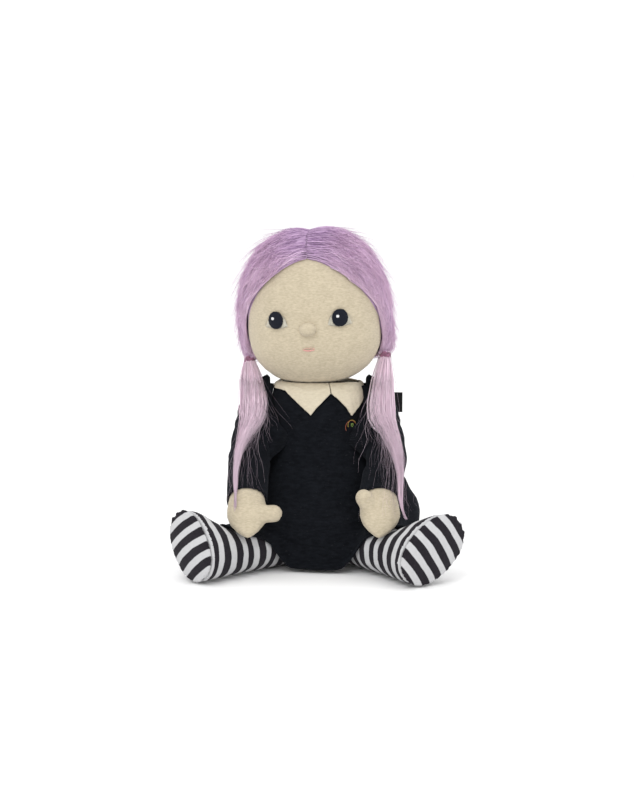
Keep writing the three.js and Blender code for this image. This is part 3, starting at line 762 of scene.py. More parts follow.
BUNCH = HairFinish(
    "hair_bunch", (0.70, 0.50, 0.62), (0.92, 0.72, 0.83), (0.98, 0.86, 0.94), (0.50, 0.38, 0.46),
    root=0.08, fade=0.6)
BACKING = PileFinish("hair_backing", (0.30, 0.18, 0.33), (0.52, 0.35, 0.54))
BAND = ThreadFinish("hair_band", (0.25, 0.10, 0.17), contrast=0.35)
NAVY = ThreadFinish(
    "navy_thread", (0.0065, 0.0085, 0.017), contrast=0.35, gloss=0.14, roughness=0.6, sheen=0.03)
WHITE = ThreadFinish("white_thread", (0.58, 0.55, 0.46), contrast=0.06)
GLINT = ThreadFinish("glint_thread", (0.86, 0.86, 0.86), contrast=0.05)
OUTLINE = ThreadFinish("outline_thread", (0.42, 0.41, 0.36), contrast=0.15)
PINK = ThreadFinish("pink_thread", (0.74, 0.38, 0.35), contrast=0.1)
GOLD = ThreadFinish("gold_thread", (0.42, 0.30, 0.03), contrast=0.2)
RUST = ThreadFinish("rust_thread", (0.32, 0.07, 0.025), contrast=0.2)
GREEN = ThreadFinish("green_thread", (0.22, 0.34, 0.06), contrast=0.2)


class Wardrobe:
    """Makes each finish once and hands it out by its recipe."""

    def __init__(self) -> None:
        """Starts with no material made."""
        self.made: dict[str, Material] = {}

    def material(self, finish: Finish) -> Material:
        """The material of a finish, made on first use."""
        if finish.name not in self.made:
            self.made[finish.name] = finish.build()
        return self.made[finish.name]

    def dress(
        self, piece: Piece, finish: Finish, body: Body | None, *replaces: str, fill: float = 0.0
    ) -> None:
        """Gives a piece its finish, its body and the nodes it stands for.

        Args:
            piece: The finished mesh.
            finish: The recipe of its material.
            body: The body it rides on, or None if it rides on none.
            *replaces: The nodes it replaces.
            fill: How full its padding is, or 0 if it has none. Not used.
        """
        piece.data.materials.clear()
        piece.data.materials.append(self.material(finish))
        if body is not None:
            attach(piece, body.value)
        if replaces:
            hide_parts(*replaces)
        LOG.info("%s: %d faces", piece.name, len(piece.data.polygons))


# ---------------------------------------------------------------- head


@dataclass
class HeadForm:
    """The stuffed head's own shape and place."""

    width: float = 100.0
    front: float = 43.0
    back: float = 45.0
    above: float = 67.0
    below: float = 43.3
    fullness: float = 2.4
    foot: float = 133.1
    turn: float = -7.0
    tilt: float = -3.0

    def matrix(self) -> Array:
        """The turn and place of the head on the neck, in millimetres."""
        turn = Matrix.Rotation(math.radians(self.turn), 4, "Z")
        tilt = Matrix.Rotation(math.radians(self.tilt), 4, "Y")
        return np.array(Matrix.Translation((0, 0, self.foot)) @ turn @ tilt)

    def world(self, local: Array) -> Array:
        """Moves points of the head into the frame."""
        placed = self.matrix()
        return local @ placed[:3, :3].T + placed[:3, 3]

    def turned(self, out: Array) -> Array:
        """Turns directions of the head into the frame."""
        return out @ self.matrix()[:3, :3].T

    def local(self, world: Array) -> Array:
        """Moves points of the frame into the head's own axes."""
        placed = self.matrix()
        return (world - placed[:3, 3]) @ placed[:3, :3]

    def skin(self, way: Array, lift: Array | float = 0.0) -> tuple[Array, Array]:
        """The head's surface along unit ways from its middle.

        Args:
            way: Unit directions in the head's own stretched space.
            lift: How far above the skin, in millimetres.

        Returns:
            The points and the outward directions, in the head's own axes.
        """
        deep = np.where(way[..., 1] < 0, self.front, self.back)
        tall = np.where(way[..., 2] < 0, self.below, self.above)
        half = np.stack([np.full_like(deep, self.width / 2), deep, tall], axis=-1)
        share = np.clip(way[..., 2], -0.9999, 0.9999)
        girth = self.girth(share)
        flat = way[..., :2] / np.sqrt(1 - share**2)[..., None] * girth[..., None]
        shape = np.concatenate([flat, share[..., None]], axis=-1)
        rise = np.sign(share) * np.abs(share) ** (self.fullness - 1) * girth ** (2 - self.fullness)
        out = unit(np.concatenate([flat, rise[..., None]], axis=-1) / half)
        return shape * half + [0, 0, self.below] + out * np.asarray(lift)[..., None], out

    def girth(self, share: Array) -> Array:
        """The head's girth at a share of its height from the middle, fuller than an ellipsoid's."""
        return np.maximum(1 - np.abs(share) ** self.fullness, 1e-9) ** (1 / self.fullness)

    def ways(self, local: Array) -> Array:
        """The unit ways on which points of the head's own axes lie, for any height above the skin."""
        deep = np.where(local[..., 1] < 0, self.front, self.back)
        tall = np.where(local[..., 2] < self.below, self.below, self.above)
        flat = local[..., :2] / np.stack([np.full_like(deep, self.width / 2), deep], axis=-1)
        rise = (local[..., 2] - self.below) / tall
        size = np.linalg.norm(flat, axis=-1)
        scale = (size**self.fullness + np.abs(rise) ** self.fullness) ** (1 / self.fullness)
        up = rise / scale
        level = flat / np.maximum(size, 1e-9)[..., None] * np.sqrt(np.maximum(1 - up**2, 0))[..., None]
        return np.concatenate([level, up[..., None]], axis=-1)

    def face(self, x: Array, z: Array, lift: Array | float) -> tuple[Array, Array]:
        """A point of the face at width x and height z.

        Args:
            x: Width from the middle of the face.
            z: Height above the head's foot.
            lift: How far above the skin.

        Returns:
            The points and the outward directions, in the head's own axes.
        """
        across = np.asarray(x, float) / (self.width / 2)
        rise = np.asarray(z, float) - self.below
        up = rise / np.where(rise < 0, self.below, self.above)
        girth = self.girth(up)
        ahead = -np.sqrt(np.maximum(girth**2 - across**2, 0))
        level = np.sqrt(1 - up**2) / girth
        way = np.stack([across * level, ahead * level, up], axis=-1)
        return self.skin(way, np.broadcast_to(lift, across.shape))


def oval(wide: float, tall: float, fullness: float) -> Callable[[float], Pair]:
    """The lowest and highest point of an oval at each width; a fullness of 2 is an ellipse."""

    def edge(at: float) -> Pair:
        """Both ends of the oval at a width."""
        height = tall * max(1 - abs(at / wide) ** fullness, 0.0) ** (1 / fullness)
        return -height, height

    return edge


@dataclass
class Embroidery:
    """Satin and outline stitches that lie on the face."""

    head: HeadForm
    thread: float = 0.2
    pitch: float = 0.33

    def satin(
        self, name: str, outline: Callable[[float], Pair], across: Pair,
        centre: Pair, crown: float, lift: float, seed: int, ragged: float = 0.28,
    ) -> Piece:
        """Upright satin stitches that fill an outline.

        Args:
            name: The piece's name.
            outline: The lowest and highest point at a width, both from the centre.
            across: The first and last width, from the centre.
            centre: Width and height of the centre on the face.
            crown: How far the middle of a stitch rises.
            lift: The height of its ends above the skin.
            seed: Seeds the threads' unevenness.
            ragged: How uneven the ends are.

        Returns:
            The stitches as one mesh.
        """
        rng = np.random.default_rng(seed)
        widths = np.arange(across[0], across[1] + 1e-6, self.pitch)
        ends = np.array([outline(float(w)) for w in widths])
        ends += rng.uniform(-ragged, ragged, ends.shape)
        share = np.linspace(0, 1, 9)
        z = ends[:, :1] + (ends[:, 1:] - ends[:, :1]) * share
        x = widths[:, None] + rng.uniform(-0.08, 0.08, (len(widths), 1)) + 0 * share
        edge = np.clip(1 - (widths / max(abs(across[0]), abs(across[1]))) ** 2, 0, 1)[:, None] ** 0.5
        rise = lift + crown * np.sin(np.pi * np.clip(share, 0.02, 0.98)) ** 0.6 * (0.35 + 0.65 * edge)
        points, out = self.head.face(x + centre[0], z + centre[1], rise)
        taper = 0.55 + 0.45 * np.sin(np.pi * np.clip(share, 0.03, 0.97)) ** 0.4
        radii = np.full(z.shape, self.thread) * taper
        tone = rng.uniform(0, 1, len(widths))
        return tubes(name, self.head.world(points), radii, self.head.turned(out), THREAD_SIDES, tone)

    def running(
        self, name: str, path: Array, lift: float, radius: float, stitch: float, seed: int
    ) -> Piece:
        """A line of short stitches along a path on the face.

        Args:
            name: The piece's name.
            path: Width and height of each point of the path.
            lift: The height of the thread above the skin.
            radius: The thread's radius.
            stitch: The length of one stitch.
            seed: Seeds the threads' unevenness.

        Returns:
            The stitches as one mesh.
        """
        rng = np.random.default_rng(seed)
        share, x, z = stitched(path, stitch, fewest=1, ends=0.03)
        rise = lift + 0.12 * np.sin(np.pi * share) + 0 * x
        points, out = self.head.face(x, z, rise)
        radii = np.full(x.shape, radius) * (0.6 + 0.4 * np.sin(np.pi * share))
        tone = rng.uniform(0, 1, len(x))
        return tubes(name, self.head.world(points), radii, self.head.turned(out), THREAD_SIDES, tone)


@dataclass
class Face:
    """Head, nose and stitched features."""

    wardrobe: Wardrobe
    head: HeadForm
    eye_spacing: float = 46.0
    eye_up: float = 51.6
    pupil: Pair = (10.8, 12.6)
    white: Pair = (16.6, 11.0)
    nose: tuple[float, float, float] = (12.4, 5.6, 10.0)
    nose_up: float = 44.2
    mouth_up: float = 29.6
    seam_at: float = -6.0

    def build(self) -> None:
        """Builds the head and everything stitched on it."""
        self.build_head()
        self.build_nose()
        for side in Side:
            self.build_eye(side)
        self.build_mouth()

    def build_head(self) -> None:
        """The stuffed head, with the seam that joins its face panel to its back."""
        piece = soft_copy("head_skin", "head", 1.9, 6)
        inflate(piece, 0.8)
        modify(piece, "SMOOTH", factor=0.5, iterations=4)
        local = self.head.local(points_of(piece))
        off = np.abs(local[:, 1] - self.seam_at)
        groove = -0.55 * bell(off, 0.9) + 0.22 * bell(off - 2.2, 1.2)
        pucker = 0.12 * np.sin(local[:, 2] * 1.9 + local[:, 0] * 0.6) * bell(off, 3.0)
        lumps = 0.35 * ripple(local, 24, 3.1) + 0.12 * ripple(local, 9, 8.3)
        raised(piece, groove + pucker + lumps)
        self.wardrobe.dress(piece, SKIN, Body.HEAD, "head", fill=0.9)

    def build_nose(self) -> None:
        """The small stuffed ball of the nose, gathered into the face."""
        width, reach, height = self.nose
        seat, _ = self.head.face(np.array([0.0]), np.array([self.nose_up]), 0.0)
        centre = self.head.world(seat + [0, reach * 0.1, 0])[0]
        deselect()
        bpy.ops.mesh.primitive_uv_sphere_add(segments=40, ring_count=24, radius=MM, location=(0, 0, 0))
        piece = bpy.context.object
        piece.name = "nose_ball"
        ball = points_of(piece)
        full = np.sign(ball) * np.abs(ball) ** 0.94
        shape = full * [width / 2, reach, height / 2]
        gather = 1 - 0.12 * smoothstep(ball[:, 1], -0.1, 0.5)
        shape *= np.stack([gather, np.ones_like(gather), gather], axis=1)
        pucker = 0.1 * np.sin(np.arctan2(ball[:, 2], ball[:, 0]) * 17)
        shape += ball * (pucker * smoothstep(ball[:, 1], -0.35, 0.1))[:, None]
        shaped(piece, self.head.turned(shape) + centre)
        self.wardrobe.dress(piece, SKIN, Body.HEAD, "nose", fill=0.95)

    def eye_outline(self, side: Side) -> Array:
        """The almond line round the white of one eye, as widths and heights on the face."""
        knots = np.array([
            (-7.9, -3.8), (-6.9, 0.0), (-4.8, 3.0), (0.0, 5.0), (5.1, 3.2), (7.7, 0.2), (8.9, -3.9),
            (7.2, -5.2), (0.0, -6.3), (-6.4, -5.2), (-7.9, -3.8),
        ])
        knots[:, 0] = (knots[:, 0] + self.eye_spacing / 2) * side.value
        knots[:, 1] += self.eye_up
        return catmull(knots, np.linspace(0, 1, 90))

    def build_eye(self, side: Side) -> None:
        """One eye: white, outline, pupil and glint, all in thread."""
        stitcher = Embroidery(self.head)
        x = side.value * self.eye_spacing / 2
        outline = self.eye_outline(side)

        def white(at: float) -> Pair:
            """The lowest and highest thread of the white at a width."""
            share = min(abs(at) / (self.white[0] / 2), 1.0)
            return -6.0 + 1.4 * share**2.2, 4.6 - 8.6 * share**3

        half = self.white[0] / 2
        middle = (x, self.eye_up)
        fill = stitcher.satin(
            f"{side.label}_eye_white_thread", white, (-half, half), middle,
            crown=0.25, lift=0.12, seed=11, ragged=0.1)
        self.wardrobe.dress(fill, WHITE, Body.HEAD, f"{side.label}_eye_white")
        line = stitcher.running(
            f"{side.label}_eye_line", outline, lift=0.34, radius=0.13, stitch=1.7, seed=12)
        self.wardrobe.dress(line, OUTLINE, Body.HEAD)

        wide, tall = self.pupil[0] / 2, self.pupil[1] / 2
        pad = node_copy(f"{side.label}_pupil_pad", f"{side.label}_pupil")
        number(pad, "tone", np.full(len(pad.data.vertices), 0.2))
        threads = stitcher.satin(
            f"{side.label}_pupil_thread", oval(wide, tall, 2.2), (-wide + 0.1, wide - 0.1), middle,
            crown=1.15, lift=0.75, seed=13)
        pupil = joined(f"{side.label}_pupil_thread", [threads, pad])
        self.wardrobe.dress(pupil, NAVY, Body.HEAD, f"{side.label}_pupil")
        glint = stitcher.satin(
            f"{side.label}_glint", oval(1.2, 1.5, 2), (-1.1, 1.1), (x - 1.7, self.eye_up + 1.2),
            crown=0.35, lift=1.95, seed=14, ragged=0.12)
        self.wardrobe.dress(glint, GLINT, Body.HEAD)

    def build_mouth(self) -> None:
        """Two short rows of pink stitches: the lips."""
        stitcher = Embroidery(self.head)

        def lower(at: float) -> Pair:
            """The lower lip at a width."""
            share = abs(at) / 4.3
            return -1.25 + 1.0 * share**2, -0.2 + 0.35 * share**2

        lip = stitcher.satin(
            "lower_lip", lower, (-4.2, 4.2), (0, self.mouth_up),
            crown=0.3, lift=0.35, seed=21, ragged=0.06)
        bow = np.array([
            (-4.3, 0.3), (-2.9, 0.75), (-1.2, 1.2), (0.0, 0.75), (1.2, 1.3), (2.9, 1.1), (4.3, 0.9),
        ])
        bow[:, 1] += self.mouth_up
        line = stitcher.running(
            "upper_lip", catmull(bow, np.linspace(0, 1, 40)), lift=0.4, radius=0.2, stitch=1.5, seed=22)
        mouth = joined("mouth_thread", [lip, line])
        self.wardrobe.dress(mouth, PINK, Body.HEAD, "mouth")


# ---------------------------------------------------------------- hair


@dataclass
class Wig:
    """The long-pile cap, parted in the middle and combed to the two ties."""

    wardrobe: Wardrobe
    head: HeadForm
    brow_turns: Row = (0, 10, 20, 30, 40, 50, 60, 70, 78, 86)
    brow: Row = (50, 47.9, 44, 39, 33.1, 26.8, 20.4, 14, 8, 0)
    ear: float = -30.0
    nape: float = -40.0
    edge_pile: float = 1.4
    top_pile: float = 6.6
    side_pile: float = 7.4
    gather_pile: float = 0.8
    cap_gather: float = 4.5
    tie: tuple[float, float, float] = (51.2, 3.0, 18.3)
    strands: int = 11400
    rings: int = 7
    layers: int = 3
    tufts: int = 430
    parting: Pair = (44, 224)
    length: Pair = (0.2, 0.42)
    tuft_bend: float = 6.0
    tuft_shade: float = 0.16
    stray_share: float = 0.09
    stray_bend: float = 11.0
    stray_lift: Pair = (1.5, 7.5)
    fibre: float = 0.25
    inset: float = 2.8
    hank_strands: int = 640
    hank_rings: int = 11
    hank_fibre: float = 0.2
    hank_from: float = 134.0
    hank_spread: float = 56.0

    def hairline(self, round_: Array) -> Array:
        """Height of the hairline, in degrees, at a turn from the face."""
        brow = np.interp(round_, self.brow_turns, self.brow)
        back = self.ear + (self.nape - self.ear) * smoothstep(round_, 98, 150)
        return brow + (back - brow) * smoothstep(round_, 84, 98)

    def pile(self, round_: Array, rise: Array, gather: float) -> Array:
        """Height of the pile above the head, in millimetres, with more of it towards the tie."""
        side = np.sin(np.radians(round_)) ** 2 * np.cos(np.radians(np.maximum(rise, 0)))
        full = self.top_pile + (self.side_pile - self.top_pile) * side
        full = full + gather * side * smoothstep(-rise, 0, 34)
        room = np.where(round_ < 82, 13.0, 6.0)
        inside = smoothstep((rise - self.hairline(round_)) / room, 0, 1)
        return 0.3 + self.edge_pile + (full - self.edge_pile) * np.sqrt(inside)

    def angles(self, way: Array) -> tuple[Array, Array]:
        """Turn from the face and rise, in degrees, of unit ways."""
        flat = np.maximum(np.hypot(way[..., 0], way[..., 1]), 1e-9)
        round_ = np.degrees(np.arccos(np.clip(-way[..., 1] / flat, -1, 1)))
        return round_, np.degrees(np.arcsin(np.clip(way[..., 2], -1, 1)))

    def tie_at(self, side: Side) -> Array:
        """The place of one tie, in the head's own axes."""
        return np.array(self.tie) * [side.value, 1, 1]

    def tie_way(self, side: Side) -> Array:
        """The unit way from the head's middle to one tie."""
        return self.head.ways(self.tie_at(side)[None])[0]

    def comb(self, side: Side, part: Array, share: Array) -> Array:
        """Ways along the comb lines, from the parting to the tie.

        Args:
            side: The half of the wig.
            part: Where each line leaves the parting, in degrees from the face over the crown.
            share: Places along each line, from 0 at the parting to 1 at the tie.

        Returns:
            Unit ways, with one row for each line and one column for each place.
        """
        lift = np.radians(part)[:, None]
        start = np.stack([np.full_like(lift, 0.012 * side.value), -np.cos(lift), np.sin(lift)], axis=-1)
        end = self.tie_way(side)
        arc = np.arccos(np.clip((start * end).sum(-1), -1, 1))
        way = np.sin((1 - share) * arc)[..., None] * start + np.sin(share * arc)[..., None] * end
        way /= np.sin(arc)[..., None]
        bulge = np.sin(np.pi * share) * 0.05 * np.cos(np.radians(np.clip(part - 45, 0, 90)))[:, None]
        return unit(way + bulge[..., None] * np.array([0, -0.2, 1.0]))

    def build(self) -> None:
        """Builds both halves with their backing and their layers of fibres."""
        for side in Side:
            self.build_backing(side)
            self.build_fibres(side)
            self.build_gather(side)

    def build_backing(self, side: Side) -> None:
        """The cap's own cloth and the dense pile close to it, sunk below the loose fibres."""
        piece = soft_copy(f"{side.label}_wig_backing", f"{side.label}_wig_half", 1.3, 3)
        local = self.head.local(points_of(piece))
        way = self.head.ways(local)
        tie = self.tie_way(side)
        flat = way - (way @ tie)[:, None] * tie
        up = unit(np.array([0, 0, 1.0]) - tie[2] * tie)
        turn = np.arctan2(flat @ np.cross(up, tie), flat @ up)
        round_, rise = self.angles(way)
        base, out = self.head.skin(way)
        height = ((local - base) * out).sum(axis=1)
        sunk = self.pile(round_, rise, self.gather_pile) - self.inset
        sunk = sunk / self.pile(round_, rise, self.cap_gather)
        loose = smoothstep(height, 0.8, 4.5)
        ridges = 0.3 * np.sin(turn * 46 + 3 * ripple(local, 16, 5)) + 0.4 * ripple(local, 5, 2.2)
        edge = self.hairline(round_ - 11 * smoothstep(round_, 60, 80))
        shown = smoothstep(rise - edge, -1, 3)
        move = height * (np.clip(sunk, 0.35, 1) * shown - 0.4 * (1 - shown) - 1) + ridges * loose
        shaped(piece, points_of(piece) + self.head.turned(out) * move[:, None])
        number(piece, "comb", turn * 30 + side.value * 7)
        self.wardrobe.dress(piece, BACKING, Body.HEAD, f"{side.label}_wig_half")

    def build_fibres(self, side: Side) -> None:
        """The combed fibres of one half, in layers that stay small enough each."""
        for layer in range(self.layers):
            self.lay(side, layer, np.random.default_rng(WIG_SEED + 10 * side.value + layer))

    def kept_above(self, way: Array, places: Array, room: Array, side: Side) -> Array:
        """Lifts ways that cross the hairline back over it, all but close to the tie.

        Args:
            way: Unit ways, as fibres by points by 3.
            places: The place of each point between parting and tie.
            room: How far over the hairline each fibre keeps, in degrees.
            side: The half of the wig.

        Returns:
            The lifted unit ways.
        """
        round_, rise = self.angles(way)
        short = self.hairline(round_) + room[:, None] - rise
        lift = 1.5 * np.log1p(np.exp(np.clip(short / 1.5, -30, 30)))
        lift = lift * (1 - smoothstep(places, 0.72, 0.95))
        turn, rise = np.radians(round_), np.radians(rise + lift * (round_ < 100))
        side_way = np.where(way[..., 0] * side.value < 0, -1, 1) * side.value
        level = np.cos(rise)
        return np.stack([side_way * level * np.sin(turn), -level * np.cos(turn), np.sin(rise)], axis=-1)

    def lay(self, side: Side, layer: int, rng: np.random.Generator) -> None:
        """Lays one layer of fibres in tufts along the comb lines.

        Args:
            side: The half of the wig.
            layer: The layer's number, from 0 at the bottom.
            rng: The seeded source of unevenness.
        """

        def of_tuft(low: float, high: float) -> Array:
            """A number for each fibre that is the same all through its tuft."""
            return rng.uniform(low, high, len(kept))[tuft]

        count, along = self.strands // self.layers, self.rings
        share = np.linspace(0, 1, along)
        part = rng.uniform(*self.parting, 4 * self.tufts)
        ruffle = 2.4 * rng.random(len(part)) ** 3
        start = np.clip(rng.uniform(-0.07, 0.9, len(part)), 0, 1)
        round_, rise = self.angles(self.comb(side, part, start[:, None])[:, 0])
        kept = np.flatnonzero(rise > self.hairline(round_) + 0.5)[: self.tufts]
        tuft = rng.integers(0, len(kept), count)
        bend = rng.normal(0, self.tuft_bend, len(kept))[tuft]
        shade = rng.normal(0, self.tuft_shade, len(kept))[tuft]
        stray = rng.random(count) < self.stray_share
        aside = rng.normal(0, 1.9, count)
        root = np.clip(start[kept][tuft] + rng.normal(0, 0.022, count), -0.014, 0.93)
        reach = of_tuft(*self.length) * rng.uniform(0.8, 1.15, count)
        places = np.clip(root[:, None] + reach[:, None] * share, -0.014, 1)
        wander = bend + rng.normal(0, 1.8, count)
        wander = wander + np.where(stray, rng.normal(0, self.stray_bend, count), 0)
        leaving = part[kept][tuft][:, None]
        swing = leaving + aside[:, None] * (1.2 - 0.85 * share) + wander[:, None] * share**1.4
        swing = swing + 1.8 * np.sin(2 * np.pi * (1.2 * share + of_tuft(0, 1)[:, None])) * share
        way = self.comb(side, swing.ravel(), places.reshape(-1, 1)).reshape(count, along, 3)
        room = rng.exponential(2.4, count) - 1.3
        way = self.kept_above(way, places, room, side)
        round_, rise = self.angles(way)
        pile = self.pile(round_, rise, self.gather_pile)
        depth = (layer + np.clip(of_tuft(0, 1) + rng.normal(0, 0.2, count), 0, 1)) / self.layers
        lift = pile * (0.56 + 0.42 * depth[:, None]) * (1 - 0.42 * np.exp(-6 * share))
        far = rng.uniform(*self.stray_lift, count)
        near = rng.exponential(0.5, count) + of_tuft(-0.6, 0.8)
        loose = np.where(stray, far, near) + ruffle[kept][tuft]
        lift = lift + loose[:, None] * share**2 + 0.4 * np.sin(places * 34 + leaving) * share
        local, out = self.head.skin(way, np.maximum(lift, 0.5))
        radii = np.full((count, along), self.fibre) * (1 - 0.8 * share**2)
        radii = radii * rng.uniform(0.7, 1.2, (count, 1))
        radii = np.where(stray[:, None], radii * 0.75, radii)
        front = np.exp(-np.clip(rise[:, 3] - self.hairline(round_[:, 3]), 0, 60) / 8)
        # Fibres lying deeper in the pile take a darker tone: painted shade under the fibres above them.
        tone = 0.42 + shade + 0.11 * rng.normal(size=count) + 0.15 * depth + 0.3 * front
        # Fibres rooted by the parting take a darker tone: painted shade in the parting.
        tone -= 0.3 * bell(root, 0.1)
        piece = tubes(
            f"{side.label}_hair_{layer}", self.head.world(local), radii, self.head.turned(out),
            HAIR_SIDES, np.clip(tone, 0.1, 1))
        self.wardrobe.dress(piece, HAIR, Body.HEAD)

    def build_gather(self, side: Side) -> None:
        """The twisted hank that runs from the side of the cap down into the tie."""
        rng = np.random.default_rng(HANK_SEED + side.value)
        count, along = self.hank_strands, self.hank_rings
        share = np.linspace(0, 1, along)
        origin = rng.uniform(-1, 1, count)
        part = self.hank_from + origin * self.hank_spread
        way = self.comb(side, part, (0.62 + 0.36 * share)[None, :] + 0 * part[:, None])
        round_, rise = self.angles(way)
        lift = self.pile(round_, rise, self.gather_pile) * rng.uniform(0.75, 1.0, (count, 1))
        local, out = self.head.skin(way, lift)
        twist = origin[:, None] * 2.4 + share * 5.0
        ring = rng.uniform(0.3, 1.0, (count, 1)) ** 0.5 * 3.1
        height = 1.5 + (1 - share) * 14 + 0 * twist
        coil = np.stack([ring * np.cos(twist), ring * np.sin(twist), height], axis=-1)
        hank = self.tie_at(side) + coil
        hank[..., 0] += side.value * (-1.0 + 1.5 * np.sin(np.pi * share))
        blend = smoothstep(share, 0.35, 1.0)[None, :, None]
        local = local * (1 - blend) + hank * blend
        radii = np.full((count, along), self.hank_fibre) * (1 - 0.3 * share)
        tone = np.clip(0.34 + 0.12 * rng.normal(size=count) + 0.24 * np.sin(origin * 19), 0.1, 1)
        piece = tubes(
            f"{side.label}_hair_hank", self.head.world(local), radii, self.head.turned(out),
            HAIR_SIDES, tone)
        self.wardrobe.dress(piece, HAIR, Body.HEAD)


@dataclass
class Pigtail:
    """One bunch of hair below its tie, lying over the sleeve and drawn out to a thin tip."""

    wardrobe: Wardrobe
    head: HeadForm
    wig: Wig
    arm: "Arm"
    side: Side
    tip_out: Pair
    reach: float
    strands: int = 3000
    points: int = 22
    rings: tuple[int, int] = (5, 9)
    locks: int = 90
    depth: float = 9.0
    fibre: float = 0.22
    wave: float = 0.7
    stray_share: float = 0.05
    stray_drift: float = 11.0
    loose_share: float = 0.10
    cut_up: float = 134.0
    cut_spread: float = 4.0
    bend_out: float = 48.0
    bend_top: float = 152.0
    bend_length: float = 17.0
    tie_place: float = 1 / 6
    places: Row = (0.13, 0.167, 0.25, 0.333, 0.40, 0.5, 0.583, 0.667, 0.75, 0.85, 1.0)
    half: Row = (2.6, 2.4, 6.0, 8.2, 7.8, 6.0, 4.6, 3.3, 2.0, 1.2, 0.6)

    def spine(self) -> Array:
        """The knots of the bunch's middle line, in the frame."""
        s = self.side.value
        tie = self.head.world(self.wig.tie_at(self.side)[None])[0]
        arm = self.arm.spine()
        out = (5, 7, 9, *self.tip_out)
        ahead = (18.2, 20.0, 23.2, 17, 13)
        rest = [arm[k + 1] + [s * out[k], -(ahead[k] + self.depth / 2), 0] for k in range(len(out))]
        return np.array([tie + [-s, 0, 5], tie, *rest])

    def build(self) -> None:
        """Builds the fibres above and below the shoulder, and the tie."""
        self.build_fibres()
        self.build_tie()

    def build_fibres(self) -> None:
        """The fibres in locks of their own length, with a few stray guard hairs over the dress."""
        s = self.side.value
        rng = np.random.default_rng(BUNCH_SEED + s)
        count, along = self.strands, self.points
        share = np.linspace(0, 1, along)
        lock = rng.integers(0, self.locks, count)
        long = rng.random(self.locks)
        end = np.interp(long, (0, 0.72, 1), (0.42, 0.78, 1.02))[lock]
        end = self.tie_place + (end * rng.uniform(0.9, 1.05, count) - self.tie_place) * self.reach
        start = self.tie_place - 0.03
        places = start + (end[:, None] - start) * share
        middle = catmull(self.spine(), places)
        run = unit(np.gradient(middle, axis=1))
        over = unit(np.cross(run, np.array([s, 0, 0.0])) * s)
        across = np.cross(over, run)
        scaled = self.tie_place + (places - self.tie_place) / self.reach
        wide = np.interp(scaled, self.places, self.half)
        deep = np.minimum(wide * 0.6, self.depth / 2)
        turn = rng.uniform(0, 2 * np.pi, self.locks)[lock]
        ring = np.sqrt(rng.random(self.locks))[lock]
        close = 0.34 * (1 - 0.6 * share)
        aside, ahead = rng.normal(0, 1, (2, count, 1)) * close
        phase = rng.uniform(0, 2 * np.pi, self.locks)[lock][:, None]
        wave = self.wave * np.sin(places * 26 + phase) * share
        loose = (rng.random(count) < self.loose_share)[:, None]
        loose = loose * rng.normal(0, 2.2, (count, 1)) * share**1.3
        loose = loose * (1 - 0.8 * smoothstep(places, 0.5, 0.78))
        x = wide * (0.8 * (ring * np.cos(turn))[:, None] + aside) + wave + loose
        y = deep * (0.8 * (ring * np.sin(turn))[:, None] + ahead)
        stray = rng.random(count) < self.stray_share
        drift = np.abs(rng.normal(0, self.stray_drift, count)) * stray
        drift = drift * np.where(rng.random(count) < 0.75, 1, -0.5)
        local = middle + across * x[..., None] + over * y[..., None]
        curl = (stray * 2.2)[:, None] * np.sin(places * 31 + 3 * phase) * share
        drift = drift[:, None] * share**1.7 + curl
        local = local + drift[..., None] * np.array([-s * 0.95, -0.3, 0.0])
        radii = np.full((count, along), self.fibre) * (1 - 0.85 * share**2)
        radii = radii * rng.uniform(0.7, 1.15, (count, 1))
        radii = np.where(stray[:, None], radii * 0.5, radii)
        tone = 0.52 + rng.normal(0, 0.13, self.locks)[lock] + 0.09 * rng.normal(size=count)
        tone = np.where(stray & (rng.random(count) < 0.8), 0.0, np.clip(tone, 0.1, 1))
        self.split(local, radii, over, tone)

    def split(self, lines: Array, radii: Array, facing: Array, tone: Array) -> None:
        """Cuts each fibre at a height of its own and makes the two pieces.

        Args:
            lines: The fibres' middle lines.
            radii: Their radii.
            facing: Directions out of the bunch.
            tone: Each fibre's tone.
        """
        label = self.side.label
        rng = np.random.default_rng(CUT_SEED + self.side.value)
        cut = self.cut_up + self.cut_spread * rng.random(len(lines))
        below = np.clip(np.argmax(lines[:, :, 2] < cut[:, None], axis=1), 2, lines.shape[1] - 2)
        rows = np.arange(len(lines))
        a, b = lines[rows, below - 1], lines[rows, below]
        t = np.clip((a[:, 2] - cut) / np.maximum(a[:, 2] - b[:, 2], 1e-6), 0, 1)
        at = below - 1 + t
        total = lines.shape[1] - 1

        def stretch(name: str, low: Array, high: Array, count: int) -> Piece:
            """One piece, from each fibre's low place to its high one."""
            spots = low[:, None] + (high - low)[:, None] * np.linspace(0, 1, count)
            index = np.minimum(spots.astype(int), total - 1)
            part = (spots - index)[..., None]
            line, radius, out = (
                values[rows[:, None], index] * (1 - part) + values[rows[:, None], index + 1] * part
                for values in (lines, radii[..., None], facing))
            return tubes(
                f"{label}_bunch_{name}", line, radius[..., 0], out, HAIR_SIDES, tone, spots / total)

        upper = stretch("upper", 0 * at, at, self.rings[0])
        lower = stretch("lower", at, 0 * at + total, self.rings[1])
        self.wardrobe.dress(upper, BUNCH, None, f"{label}_pigtail")
        self.wardrobe.dress(lower, BUNCH, None)
        arm = Body.arm(self.side).value
        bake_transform(upper)
        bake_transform(lower)

